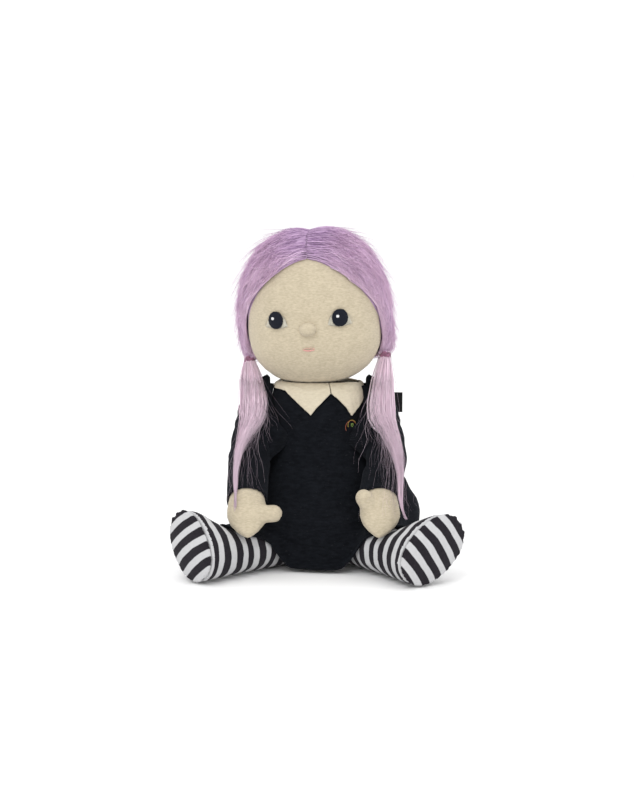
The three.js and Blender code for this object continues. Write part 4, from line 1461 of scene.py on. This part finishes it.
    def build_tie(self) -> None:
        """The braided band round the bunch."""
        label = self.side.label
        radius, band = 3.0, 0.85
        centre, ahead = catmull(self.spine(), np.array([self.tie_place, self.tie_place + 0.02]))
        axis = unit(ahead - centre)
        first = unit(np.cross(axis, [0, 1, 0]))
        second = np.cross(axis, first)
        turn = np.linspace(0, 2 * np.pi, 73)
        lines, facing = [], []
        for strand in range(3):
            phase = turn * 8 + strand * 2 * np.pi / 3
            out = radius + band * 0.75 * np.cos(phase)
            up = band * 1.5 * np.sin(phase / 2 + strand)
            ring = np.cos(turn)[:, None] * first + np.sin(turn)[:, None] * second
            lines.append(centre + ring * out[:, None] + axis * up[:, None])
            facing.append(ring)
        radii = np.full((3, len(turn)), band)
        tone = np.array([0.3, 0.5, 0.7])
        piece = tubes(f"{label}_tie_braid", np.array(lines), radii, np.array(facing), BAND_SIDES, tone)
        self.wardrobe.dress(piece, BAND, Body.HEAD, f"{label}_hair_tie")


# ---------------------------------------------------------------- limbs


@dataclass
class Arm:
    """One stuffed arm with its mitten, and the sleeve over it."""

    wardrobe: Wardrobe
    side: Side
    hand_out: float
    swell: float = 0.5
    wrist: float = 0.725
    # How far up the arm from the wrist the painted shade inside the sleeve begins, as a share of the arm's
    # length.
    covered: float = 0.12
    turn_up: float = 0.045
    sleeve_length: float = 0.098

    def spine(self) -> Array:
        """The knots of the arm's middle line."""
        knots = np.array([
            [38, 0, 138], [42, -2, 117], [45, -8, 102], [50, -22, 83],
            [self.hand_out, -50, 58], [self.hand_out - 0.5, -67, 46], [self.hand_out - 1.5, -82, 31],
        ], float)
        return knots * [self.side.value, 1, 1]

    def along(self, points: Array) -> tuple[Array, Array, Array]:
        """Where points lie beside the arm's middle line.

        Args:
            points: Points in the frame.

        Returns:
            The place from shoulder to fingertip, and the offsets across and over the arm.
        """
        places = np.linspace(0, 1, 121)
        line = catmull(self.spine(), places)
        nearest = np.argmin(((points[:, None] - line[None]) ** 2).sum(-1), axis=1)
        run, rest = unit(np.gradient(line, axis=0))[nearest], points - line[nearest]
        across = unit(np.cross([0.0, -1.0, 0.6], run))
        over = np.cross(run, across)
        return places[nearest], (rest * across).sum(1), (rest * over).sum(1)

    def build(self) -> None:
        """Builds the arm and the sleeve."""
        self.build_arm()
        self.build_sleeve()

    def build_arm(self) -> None:
        """The arm and mitten, with the seam that runs round the hand's edge."""
        label = self.side.label
        piece = soft_copy(f"{label}_arm_skin", f"{label}_arm", 1.2, 5)
        inflate(piece, self.swell)
        points = points_of(piece)
        place, across, over = self.along(points)
        edge = smoothstep(np.abs(across), 5, 9) * smoothstep(place, 0.62, 0.7)
        seam = np.maximum(edge, smoothstep(place, 0.93, 0.99))
        groove = -0.75 * bell(over, 0.8) * seam
        ridge = 0.3 * bell(np.abs(over) - 1.9, 0.9) * seam
        pucker = 0.15 * np.sin(place * 190) * bell(over, 3) * seam
        lumps = 0.3 * ripple(points, 11, 4.4) + 0.12 * ripple(points, 4, 1.4)
        raised(piece, groove + ridge + pucker + lumps)
        modify(piece, "SMOOTH", factor=0.4, iterations=1)
        smooth_shaded(piece)
        self.wardrobe.dress(piece, SKIN, Body.arm(self.side), f"{label}_arm", fill=0.8)
        # The arm inside the sleeve, above the cuff, takes the black dress cotton in place of its cream
        # skin: painted shade inside the sleeve.
        piece.data.materials.append(self.wardrobe.material(COTTON))
        faces = piece.data.polygons
        under = self.along(triples(faces, "center") / MM)[0] < self.wrist - self.covered
        faces.foreach_set("material_index", under.astype(np.int32))

    def beside_dress(self, points: Array, place: Array, ring: Array) -> Array:
        """Lets the sleeve's inner side lie against the dress, from the shoulder to below the armpit.

        Args:
            points: The sleeve's points.
            place: Their places from shoulder to fingertip.
            ring: Their distances from the arm's middle line.

        Returns:
            The moved points.
        """
        s = self.side.value
        tree = cloth_tree("dress_cloth")
        middle = catmull(self.spine(), place)[:, 0]
        share = smoothstep((middle - points[:, 0]) * s / ring, 0.1, 0.7)
        share = share * smoothstep(points[:, 2], 78, 92)
        moved = points.copy()
        for index in np.flatnonzero(share > 0.01):
            spot, _, _, gap = tree.ray_cast(Vector(points[index] * MM), Vector((-s, 0, 0)))
            if spot is not None and gap < 0.014:
                moved[index, 0] -= s * max(gap / MM - 0.5, 0) * share[index]
        return moved

    def build_sleeve(self) -> None:
        """The sleeve, creased inside the elbow and turned up at the wrist."""
        label = self.side.label
        piece = soft_copy(f"{label}_sleeve_cloth", f"{label}_sleeve", 0.9, 3)
        points, out = points_of(piece), normals_of(piece)
        place, across, over = self.along(points)
        ring = np.hypot(across, over)
        points = self.beside_dress(points, place, ring)
        outer = smoothstep(ring, 14.6, 15.6)
        crease = np.sin(place * 62 + 1.8 * np.arctan2(over, across)) * smoothstep(place, 0.16, 0.4)
        crease *= 1 - smoothstep(place, 0.5, 0.66)
        folds = 0.8 * crease * (0.5 + 0.5 * np.sin(np.arctan2(over, across)))
        below = place - self.wrist + self.turn_up
        hem, band = bell(below, 0.006), smoothstep(below, -0.005, 0.005)
        lift = folds + 0.5 * ripple(points, 8, 6.1) + 0.25 * band - 0.4 * hem
        shaped(piece, points + out * (lift * np.maximum(outer, 0.25))[:, None])
        self.wardrobe.dress(piece, COTTON, Body.arm(self.side), f"{label}_sleeve")


@dataclass
class Leg:
    """One striped leg with its foot, and the flat padded sole."""

    wardrobe: Wardrobe
    side: Side
    splay: float
    foot_turn: float
    foot_roll: float
    sole_length: float
    swell: float = 0.5
    hip_out: float = 26.0
    hip_front: float = 22.0
    floor_room: float = 0.8
    bead: float = 2.0
    hip_seam: float = 30.0
    length: float = 88.0
    thigh: float = 18.0
    ankle: float = 16.5
    sole_width: float = 41.0
    sole_fullness: float = 2.25
    toe_rise: float = 11.0
    sole_start: float = 2.0
    ankle_crease: float = 47.0
    knee_crease: float = 33.0

    def heading(self) -> Array:
        """The way along the leg, on the floor."""
        turn = math.radians(self.splay)
        return np.array([self.side.value * math.sin(turn), -math.cos(turn), 0.0])

    def top(self, x: Array, y: Array, room: float) -> Array:
        """The lowest height that cloth can have over this leg.

        Args:
            x: Widths in the frame.
            y: Depths in the frame.
            room: How far the cloth's outside keeps off the leg.

        Returns:
            A height for each point, and the floor's room where the leg isn't below it.
        """
        way = self.heading()
        level = np.array([-way[1], way[0]])
        hip = np.array([self.side.value * self.hip_out, -self.hip_front])
        run = (x - hip[0]) * way[0] + (y - hip[1]) * way[1]
        inside = np.maximum(run, 0)
        bead = np.sqrt(np.maximum(self.bead**2 - np.minimum(run, 0) ** 2, 0))
        swell = 1 - np.exp(-inside / 12)
        slim = smoothstep(run, self.length * 0.4, self.length * 0.75)
        taper = self.thigh + (self.ankle - self.thigh) * slim
        foot = smoothstep(run, self.length * 0.62, self.length)
        across = self.hip_seam / 2 + (taper - self.hip_seam / 2) * smoothstep(run, 0, 40)
        across = across + (self.sole_width / 2 - across) * foot
        tall = bead + (taper - bead) * swell
        tall = tall + (self.sole_length / 2 - tall) * foot
        share = smoothstep(run, self.length * 0.3, self.length * 0.9)
        roll = math.radians(self.foot_roll) * share * self.side.value
        power = self.sole_fullness / (self.sole_fullness - 1)
        height, half = (
            (np.abs(a * np.cos(roll)) ** power + np.abs(b * np.sin(roll)) ** power) ** (1 / power)
            for a, b in ((tall, across), (across, tall)))
        half = half + room
        shift = -self.toe_rise * foot * np.sin(roll)
        off = ((x - hip[0]) * level[0] + (y - hip[1]) * level[1] - shift) / half
        over = self.floor_room + height + (height + room) * np.sqrt(np.maximum(1 - off**2, 0))
        near = (run > -self.bead) & (run < self.length) & (np.abs(off) < 1)
        return np.where(near, over, self.floor_room)

    def foot_axes(self) -> tuple[Array, Array, Array]:
        """The sole's own directions.

        Returns:
            The way it faces, its width's way and the way to its toe.
        """
        yaw = Matrix.Rotation(math.radians(self.foot_turn) * self.side.value, 3, "Z")
        face = Vector(yaw @ Vector(self.heading()))
        level = Vector((-face.y, face.x, 0))
        roll = Matrix.Rotation(math.radians(self.foot_roll) * self.side.value, 3, face)
        return np.array(face), np.array(roll @ level), np.array(roll @ Vector((0, 0, 1)))

    def build(self) -> None:
        """Builds the leg and the sole."""
        self.build_leg()
        self.build_sole()

    def build_leg(self) -> None:
        """The stuffed leg, pinched at the ankle, with stripes round it."""
        label = self.side.label
        piece = soft_copy(f"{label}_leg_skin", f"{label}_leg", 1.4, 5)
        inflate(piece, self.swell)
        points = points_of(piece)
        along, wide, toe = ((points - self.sole_centre()) @ axis for axis in self.foot_axes())
        hip = np.array([self.side.value * self.hip_out, -self.hip_front, 0])
        run = (points - hip) @ self.heading()
        near = smoothstep(run, self.length * 0.55, self.length)
        run = run * (1 - near) + (self.length + along) * near
        upper = smoothstep(toe, -6, 16)
        creases = bell(run - self.ankle_crease, 3.2) + 0.7 * bell(run - self.knee_crease, 2.6)
        sag = 0.5 * ripple(points, 12, 2.7) + 0.2 * ripple(points, 5, 7.7)
        rim = smoothstep(run, self.length - 2.6, self.length - 0.4)
        pucker = 0.2 * np.sin(np.arctan2(toe, wide) * 34) * rim
        floor = smoothstep(points[:, 2], 1.0, 4.0)
        raised(piece, (-1.1 * creases * (0.4 + 0.6 * upper) + sag + pucker) * floor - 0.8 * rim)
        warp = 1.3 * ripple(points, 26, 9.1) + 0.5 * ripple(points, 9, 3.3)
        stripe = run + warp + 2.2 * bell(run - self.ankle_crease, 7) * (upper - 0.5)
        stripe = np.minimum(stripe, self.length - 0.6)
        number(piece, "run", np.where(run > self.length - 4.5, self.length - 1.6, stripe))
        self.wardrobe.dress(piece, JERSEY, Body.leg(self.side), f"{label}_leg", fill=0.75)

    def sole_centre(self) -> Array:
        """The middle of the sole's box, from its node."""
        low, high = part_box(f"{self.side.label}_sole")
        return (np.array(low) + np.array(high)) / 2 / MM

    def build_sole(self) -> None:
        """The padded sole, drawn in by its seam, with stripes across it."""
        label = self.side.label
        piece = soft_copy(f"{label}_sole_skin", f"{label}_sole", 1.0, 2)
        inflate(piece, self.swell)
        points, power = points_of(piece), self.sole_fullness
        _, wide, toe = self.foot_axes()
        x, y = ((points - self.sole_centre()) @ axis for axis in (wide, toe))
        across = np.abs(x / (self.sole_width / 2)) ** power
        reach = (across + np.abs(y / (self.sole_length / 2)) ** power) ** (1 / power)
        turn = np.arctan2(y / self.sole_length, x / self.sole_width)
        rim = smoothstep(reach, 0.86, 0.99)
        toe_end = smoothstep(y, self.sole_length * 0.3, self.sole_length * 0.48)
        pucker = 0.22 * np.sin(turn * 38) * rim + 0.55 * toe_end * rim * np.sin(turn * 17 + 1.0)
        dome = 0.9 * (1 - smoothstep(reach, 0.2, 1.0)) + 0.3 * ripple(points, 9, 5.5)
        floor = smoothstep(points[:, 2], 0.8, 3.0)
        raised(piece, (pucker + dome) * floor)
        curve = 1.4 * (x / (self.sole_width / 2)) ** 2
        number(piece, "run", y + curve + self.sole_start + 0.8 * ripple(points, 18, 6.6))
        self.wardrobe.dress(piece, JERSEY, Body.leg(self.side), f"{label}_sole", fill=0.7)


# ---------------------------------------------------------------- body and clothes


@dataclass
class Torso:
    """The stuffed body under the dress, its pellet bag and its neck."""

    wardrobe: Wardrobe

    def build(self) -> None:
        """Builds body, bag and neck."""
        body = soft_copy("torso_skin", "torso", 2.2, 2)
        points = points_of(body)
        raised(body, 0.25 * ripple(points, 14, 1.1) * smoothstep(points[:, 2], 0.5, 5))
        self.wardrobe.dress(body, SKIN, Body.TORSO, "torso", fill=0.8)
        bag = soft_copy("pellet_bag_cloth", "pellet_bag", 1.6, 2)
        raised(bag, 0.3 * ripple(points_of(bag), 4, 2.1) - 0.25)
        self.wardrobe.dress(bag, BAG, Body.TORSO, "pellet_bag", fill=0.7)
        neck = soft_copy("neck_skin", "neck", 0.9, 3)
        smooth_shaded(neck)
        self.wardrobe.dress(neck, SKIN, Body.TORSO, "neck", fill=0.9)


@dataclass
class Dress:
    """The A-line dress with its hem, collar, placket, motif and tab."""

    wardrobe: Wardrobe
    legs: Sequence[Leg]
    cloth: float = 1.2
    around: int = 240
    skirt_rows: int = 60
    bodice_rows: int = 50
    heights: Row = (0.8, 14, 30, 47, 66, 92, 117, 130.2, 132)
    side: Row = (74, 73, 68, 54, 41.9, 35.4, 35.4, 31.4, 26.5)
    front: Row = (60, 61.5, 60, 51, 40.9, 31.9, 28.9, 24, 19)
    back: Row = (52, 51, 47, 41, 32.9, 28.9, 27.9, 23, 19)
    waist: float = 0.5
    skirt: float = 68.0
    hem_gap: float = 0.8
    leg_room: float = 2.2
    hem_fold: float = 2.4
    folds: int = 9
    step: float = 1.25
    sharpest: float = 12.5
    flat: Pair = (0.46, 0.155)
    collar_length: float = 0.085
    placket_length: float = 0.062
    motif_at: Pair = (24.3, 103.2)
    motif_tilt: float = -28.0
    motif_scale: float = 1.05
    stitch: float = 1.25
    thread: float = 0.24
    tab_cloth: float = 0.32

    def free(self, u: Array, v: Array) -> Array:
        """The dress as it would hang with no legs under it.

        Args:
            u: Turn round the dress, from 0 to 1.
            v: Place from hem to neckline, from 0 to 1.

        Returns:
            The points, in the frame.
        """
        turn = 2 * np.pi * u
        fullness = 2.6 - 0.4 * smoothstep(v, 0.2, 0.6)
        c, s = np.cos(turn), np.sin(turn)
        c = np.sign(c) * np.abs(c) ** (2 / fullness)
        s = np.sign(s) * np.abs(s) ** (2 / fullness)
        wide, ahead, behind = (
            catmull(np.stack([values, self.heights], axis=1), v)
            for values in (self.side, self.front, self.back))
        deep = np.where(s < 0, ahead[..., 0], behind[..., 0])
        return np.stack([wide[..., 0] * c, deep * s, wide[..., 1]], axis=-1)

    def lap(self, x: Array, y: Array) -> Array:
        """The lowest height that the outside of the skirt can have over a point of the floor."""
        return np.maximum(*(leg.top(x, y, self.leg_room) for leg in self.legs))

    def drape(self, u: Array) -> Array:
        """The skirt's lines from the waist down over the lap to the hem.

        Args:
            u: The turn of each line.

        Returns:
            Points, with one row for each step of length and one column for each line.
        """
        waist = self.free(u, np.full_like(u, self.waist))
        way = unit((self.free(u, 0 * u) - waist)[:, :2])
        line = [waist]
        bend = math.radians(self.sharpest)
        count = round(self.skirt / self.step)
        ahead_by = 0.04
        for index in range(count):
            at = min(index / count, 1 - ahead_by)
            below, here = (self.free(u, 0 * u + self.waist * (v - at)) for v in (1 - ahead_by, 1))
            ahead = below - here
            hang = np.arctan2(ahead[:, 2], (ahead[:, :2] * way).sum(axis=1))
            slope = np.maximum(hang, slope - bend) if index else hang
            for _ in range(60):
                step = np.concatenate([way * np.cos(slope)[:, None], np.sin(slope)[:, None]], axis=1)
                spot = line[-1] + step * self.step
                stuck = spot[:, 2] < self.lap(spot[:, 0], spot[:, 1]) - 0.03
                stuck &= (spot[:, 2] > self.hem_gap) & (slope < 1)
                if not stuck.any():
                    break
                slope = np.where(stuck, slope + 0.04, slope)
            landed = line[-1][:, 2:] <= self.hem_gap
            spot[:, 2] = np.maximum(spot[:, 2], self.hem_gap)
            line.append(np.where(landed, line[-1], spot))
        return self.even(np.array(line))

    def even(self, lines: Array) -> Array:
        """Spaces each line's points evenly over the length that hangs, in the rows of the skirt."""
        steps = np.linalg.norm(np.diff(lines, axis=0), axis=2)
        along = np.concatenate([np.zeros((1, lines.shape[1])), np.cumsum(steps, axis=0)])
        columns = []
        for reach, line in zip(along.T, np.moveaxis(lines, 1, 0)):
            spots = np.linspace(0, reach[-1], self.skirt_rows + 1)
            columns.append(np.stack([np.interp(spots, reach, axis) for axis in line.T], axis=1))
        return np.stack(columns, axis=1)

    def eased(self, grid: Array, rounds: int) -> Array:
        """Softens the skirt's creases as stiff cloth does, and keeps it off the legs.

        Args:
            grid: The skirt, from waist to hem.
            rounds: How often it is softened.

        Returns:
            The softened skirt.
        """
        for _ in range(rounds):
            beside = (np.roll(grid, 1, axis=1) + np.roll(grid, -1, axis=1)) / 2
            along = grid.copy()
            along[1:-1] = (grid[:-2] + grid[2:]) / 2
            moved = grid * 0.5 + along * 0.25 + beside * 0.25
            moved[0] = grid[0]
            moved[..., 2] = np.maximum(moved[..., 2], self.lap(moved[..., 0], moved[..., 1]))
            grid = moved
        return grid

    def build(self) -> None:
        """Builds the dress and everything sewn on it."""
        self.build_dress()
        self.build_collar()
        self.build_placket()
        self.build_motif()
        self.build_tab()

    def grid(self) -> Array:
        """The whole dress, from hem to neckline, as rows of points."""
        u = np.arange(self.around) / self.around
        skirt = self.eased(self.drape(u), 14)
        share = np.linspace(0, 1, self.skirt_rows + 1)[:, None]
        waves = np.cos(2 * np.pi * self.folds * u)[None, :] * smoothstep(share, 0, 1)
        skirt[..., :2] *= (1 + self.hem_fold / self.front[0] * waves)[..., None]
        skirt[..., 2] = np.maximum(skirt[..., 2], self.lap(skirt[..., 0], skirt[..., 1]))
        rows = np.linspace(self.waist, 1, self.bodice_rows + 1)[1:]
        bodice = self.free(u[None, :] + 0 * rows[:, None], rows[:, None] + 0 * u[None, :])
        return np.concatenate([skirt[::-1], bodice])

    def build_dress(self) -> None:
        """The skirt and bodice in one cloth, draped over the thighs."""
        rows = self.grid()
        count = len(rows)
        index = np.arange(count * self.around).reshape(count, self.around)
        piece = mesh_piece("dress_cloth", rows.reshape(-1, 3), grid_faces(index, closed=True))
        points, out = points_of(piece), normals_of(piece)
        height = np.repeat(np.linspace(0, 1, count), self.around)
        hem = self.hem_relief(np.repeat(np.arange(count), self.around))
        free = smoothstep(points[:, 2], 2, 20)
        soft = 0.55 * ripple(points, 13, 3.0) + 0.2 * ripple(points, 5, 8.0)
        soft *= 1 - 0.7 * smoothstep(height, 0.9, 1.0)
        moved = points + out * (soft * free + hem)[:, None]
        moved[:, 2] = np.maximum(moved[:, 2], 0.5)
        shoulder = smoothstep(points[:, 2], 117, 130) * bell(points[:, 1] - 8, 9)
        moved[:, 2] += 4.0 * shoulder * smoothstep(np.abs(points[:, 0]), 29.5, 33)
        moved[:, 2] -= 1.6 * smoothstep(height, 0.955, 1.0) * smoothstep(-points[:, 1], -8, 2)
        moved += self.sitting_folds(points)
        set_points(piece, moved)
        modify(piece, "SOLIDIFY", thickness=self.cloth * MM, offset=-1, use_rim=True)
        smooth_shaded(piece)
        self.wardrobe.dress(piece, COTTON, Body.TORSO, "dress")

    def sitting_folds(self, points: Array) -> Array:
        """How the worn dress departs from its cut: a crease over the belly, and a side that stands out.

        Args:
            points: The dress's points.

        Returns:
            The moves of the points.
        """
        x, y, z = points.T
        beside = bell(np.arctan2(y - 6, np.abs(x)), 0.6)
        stand = np.interp(z, [0, 25, 45, 60, 82, 104], [3, 8, 17, 21, 9, 0])
        aside = stand * beside * np.where(x > 0, 1.0, -0.2)
        middle = smoothstep(-y, 4, 14) * (1 - smoothstep(np.abs(x), 22, 38))
        belly = (1.3 * bell(z - 63, 9) - bell(z - 76, 2.6)) * middle
        return np.stack([aside, -belly, 0 * z], axis=1)

    def hem_relief(self, row: Array) -> Array:
        """The turned-up hem: a thicker band with a row of stitches along its top."""
        height = row * self.skirt / self.skirt_rows
        band = 0.35 * (1 - smoothstep(height, 4.4, 5.4))
        return band - 0.45 * bell(height - 5.2, 0.7)

    def spread_collar(self, points: Array) -> Array:
        """Draws the left half of the collar out over the shoulder; it lies wider than the right."""
        tree = cloth_tree("dress_cloth")
        far = np.maximum(points[:, 0] - 12, 0)
        moved = points + np.stack([0.26 * far, 0 * far, -0.10 * far], axis=1)
        for index in np.flatnonzero(far > 0):
            _, _, _, height = tree.find_nearest(Vector(points[index] * MM))
            spot, out, _, _ = tree.find_nearest(Vector(moved[index] * MM))
            moved[index] = np.array(spot) / MM + np.array(out) * height / MM
        return moved

    def build_collar(self) -> None:
        """The two pointed felt halves of the collar."""
        for side in Side:
            piece = soft_copy(f"{side.label}_collar_felt", f"{side.label}_collar", 0.55, 2)
            points, out = points_of(piece), normals_of(piece)
            lift = 0.16 * ripple(points, 3.0, 1.0) + 0.12 * ripple(points, 1.2, 4.0)
            points = points + out * lift[:, None]
            points = self.spread_collar(points) if side is Side.LEFT else points
            neckline = np.hypot(points[:, 0] / self.side[-1], points[:, 1] / self.front[-1])
            points[:, 2] += 1.2 * (1 - smoothstep(neckline, 0.98, 1.3))
            shaped(piece, points)
            self.wardrobe.dress(piece, FELT, Body.TORSO, f"{side.label}_collar")

    def build_placket(self) -> None:
        """The strip that closes the dress behind."""
        piece = soft_copy("back_placket_cloth", "back_placket", 0.5, 2)
        points = points_of(piece)
        tree = cloth_tree("dress_cloth")
        found = [tree.find_nearest(Vector(point * MM)) for point in points]
        spot, out = (np.array([np.array(hit[k]) for hit in found]) for k in (0, 1))
        height = ((points - spot / MM) * out).sum(axis=1)
        band = np.round(points[:, 2] / 3).astype(int)
        low = {step: height[np.abs(band - step) < 2].min() for step in np.unique(band)}
        height = height - np.array([low[step] for step in band]) + 0.15
        shaped(piece, spot / MM + out * (height + 0.1 * ripple(points, 3, 2.0))[:, None])
        self.wardrobe.dress(piece, COTTON, Body.TORSO, "back_placket")

    def lay_on(self, centre: Pair, x: Array, z: Array, lift: float) -> tuple[Array, Array]:
        """Lays a flat drawing on the front of the dress.

        Args:
            centre: Width and height of the drawing's middle, in the frame.
            x: Widths from the middle, along the cloth.
            z: Heights from the middle, along the cloth.
            lift: How far off the cloth.

        Returns:
            The points and the outward directions.
        """
        tree = cloth_tree("dress_cloth")
        eye = Vector((centre[0] * MM, -0.3, centre[1] * MM))
        middle, out, _, _ = tree.ray_cast(eye, Vector((0, 1, 0)))
        right = Vector((0, 0, 1)).cross(out).normalized()
        up = out.cross(right)
        points, outs = [], []
        for dx, dz in zip(np.ravel(x) * MM, np.ravel(z) * MM):
            spot, normal, _, _ = tree.find_nearest(middle + right * dx + up * dz)
            points.append(np.array(spot) / MM + np.array(normal) * lift)
            outs.append(np.array(normal))
        shape = (*np.shape(x), 3)
        return np.array(points).reshape(shape), np.array(outs).reshape(shape)

    def build_motif(self) -> None:
        """A small crescent with two stars, in outline stitches on the chest."""
        turn = np.radians(np.linspace(-58, 238, 60))
        outer = np.stack([np.cos(turn) * 4.6, np.sin(turn) * 4.6], axis=1)
        lean = np.radians(np.linspace(232, -52, 44))
        inner = np.stack([np.cos(lean) * 3.5, 1.7 + np.sin(lean) * 3.4], axis=1)
        spin = np.radians(90 + 36 * np.arange(11))
        reach = np.where(np.arange(11) % 2, 0.65, 1.5)
        star = np.stack([np.cos(spin) * reach, np.sin(spin) * reach], axis=1)
        tilt = math.radians(self.motif_tilt)
        tilted = np.array([[math.cos(tilt), math.sin(tilt)], [-math.sin(tilt), math.cos(tilt)]])
        for path, finish, name in (
            (outer, RUST, "crescent_outer"),
            (inner, GOLD, "crescent_inner"),
            (star + [0.3, 1.7], GREEN, "star_middle"),
            (star * 0.8 + [5.6, 3.2], GOLD, "star_side"),
        ):
            share, x, z = stitched(path @ tilted * self.motif_scale, self.stitch, fewest=4, ends=0.02)
            points, out = self.lay_on(self.motif_at, x, z, 0.14)
            points += out * (0.14 * np.sin(np.pi * share))[None, :, None]
            radii = np.full(x.shape, self.thread) * (0.6 + 0.4 * np.sin(np.pi * share))
            tone = np.random.default_rng(len(name)).uniform(0, 1, len(x))
            piece = tubes(f"motif_{name}", points, radii, out, THREAD_SIDES, tone)
            self.wardrobe.dress(piece, finish, Body.TORSO)

    def build_tab(self) -> None:
        """The plain folded tab in the seam of the left sleeve."""
        low, high = (np.array(corner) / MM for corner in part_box("fabric_tab"))
        size, centre = high - low, (low + high) / 2
        reach, gap = size[0], 0.34
        bend = np.radians(np.linspace(-90, 90, 9))
        straight = np.linspace(0, reach - gap - 0.3, 12)
        there = np.stack([straight, np.full_like(straight, -gap)], axis=1)
        fold = np.stack([straight[-1] + gap * np.cos(bend), gap * np.sin(bend)], axis=1)
        path = np.concatenate([there, fold[1:-1], (there * [1, -1])[::-1]])
        path[:, 1] += 0.5 * np.sin(path[:, 0] * 0.35)
        rows = np.linspace(-0.5, 0.5, 15) * size[2]
        spots = np.array([[(x, y, z) for x, y in path] for z in rows])
        index = np.arange(spots[..., 0].size).reshape(len(rows), -1)
        spots = spots.reshape(-1, 3) + [low[0], centre[1], centre[2]]
        piece = mesh_piece("tab_fold", spots, grid_faces(index, closed=False))
        modify(piece, "SOLIDIFY", thickness=self.tab_cloth * MM, offset=0, use_rim=True)
        edited(piece, bpy.ops.mesh.normals_make_consistent, inside=False)
        smooth_shaded(piece)
        self.wardrobe.dress(piece, RIBBON, Body.LEFT_ARM, "fabric_tab")


# ---------------------------------------------------------------- studio


@dataclass
class Studio:
    """Floor, light and camera."""

    target: tuple[float, float, float] = (-0.75, 0.0, 116.0)
    distance: float = 1400.0
    elevation: float = 8.0
    focal_pixels: float = 1867.0
    frame_height: float = 811.0
    aim: tuple[float, float, float] = (0.0, 0.0, 120.0)
    sky: float = 1.06

    def build(self) -> None:
        """Sets up the whole studio."""
        self.build_floor()
        self.build_light()
        self.build_camera()

    def build_floor(self) -> None:
        """A pale floor, wide enough for every view."""
        deselect()
        bpy.ops.mesh.primitive_plane_add(size=60, location=(0, 0, 0))
        floor = bpy.context.object
        floor.name = "studio_floor"
        graph = Graph("studio_floor")
        mottle = graph.noise(graph.place(), 0.002, 2)
        colour = graph.mix(graph.spread(mottle, 0.3, 0.7), (0.96, 0.96, 0.96), (0.98, 0.98, 0.98))
        floor.data.materials.append(graph.settle(colour, None, 0.9, gloss=0.1))

    def build_light(self) -> None:
        """Soft light from all round, with a large panel above and before the doll."""
        world = bpy.data.worlds.new("studio_sky")
        bpy.context.scene.world = world
        world.use_nodes = True
        sky = world.node_tree.nodes["Background"]
        sky.inputs["Color"].default_value = (1, 1, 1, 1)
        sky.inputs["Strength"].default_value = self.sky
        for name, place, size, power in (
            ("key_panel", (-0.5, -1.3, 1.5), 1.0, 9.0),
            ("fill_panel", (1.3, -0.9, 0.9), 1.0, 2.0),
            ("top_panel", (0.1, 0.3, 1.7), 1.2, 5.0),
        ):
            lamp = bpy.data.lights.new(name, "AREA")
            lamp.size = size
            lamp.energy = power
            panel = linked(name, lamp)
            panel.location = place
            aim = Vector(self.aim) * MM - Vector(place)
            panel.rotation_euler = aim.to_track_quat("-Z", "Y").to_euler()

    def build_camera(self) -> None:
        """The camera, a little above the doll's middle and straight before it."""
        lens = bpy.data.cameras.new("studio_camera")
        lens.sensor_width = 36.0
        lens.lens = self.focal_pixels / self.frame_height * lens.sensor_width
        camera = linked("studio_camera", lens)
        lift = math.radians(self.elevation)
        target = Vector(self.target) * MM
        away = Vector((0, -math.cos(lift), math.sin(lift)))
        camera.location = target + away * self.distance * MM
        camera.rotation_euler = (-away).to_track_quat("-Z", "Y").to_euler()
        lens.clip_start, lens.clip_end = 0.05, 20.0
        bpy.context.scene.camera = camera
        bpy.context.scene.view_settings.view_transform = "Standard"


def main() -> None:
    """Loads the frame and builds every piece around it."""
    logging.basicConfig(level=logging.INFO, format="%(name)s: %(message)s")
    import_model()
    wardrobe = Wardrobe()
    Studio().build()
    head = HeadForm()
    wig = Wig(wardrobe, head)
    legs = [
        Leg(wardrobe, Side.LEFT, splay=32.0, foot_turn=0.0, foot_roll=-54.0, sole_length=60.0),
        Leg(wardrobe, Side.RIGHT, splay=42.5, foot_turn=6.5, foot_roll=-36.0, sole_length=54.0),
    ]
    arms = [Arm(wardrobe, Side.LEFT, hand_out=45.0), Arm(wardrobe, Side.RIGHT, hand_out=51.5)]
    Torso(wardrobe).build()
    Dress(wardrobe, legs).build()
    for limb in (*arms, *legs):
        limb.build()
    Face(wardrobe, head).build()
    wig.build()
    Pigtail(wardrobe, head, wig, arms[0], Side.LEFT, tip_out=(14.0, 18.0), reach=1.0).build()
    Pigtail(wardrobe, head, wig, arms[1], Side.RIGHT, tip_out=(7.5, 9.0), reach=0.86).build()


if __name__ == "__main__":
    main()
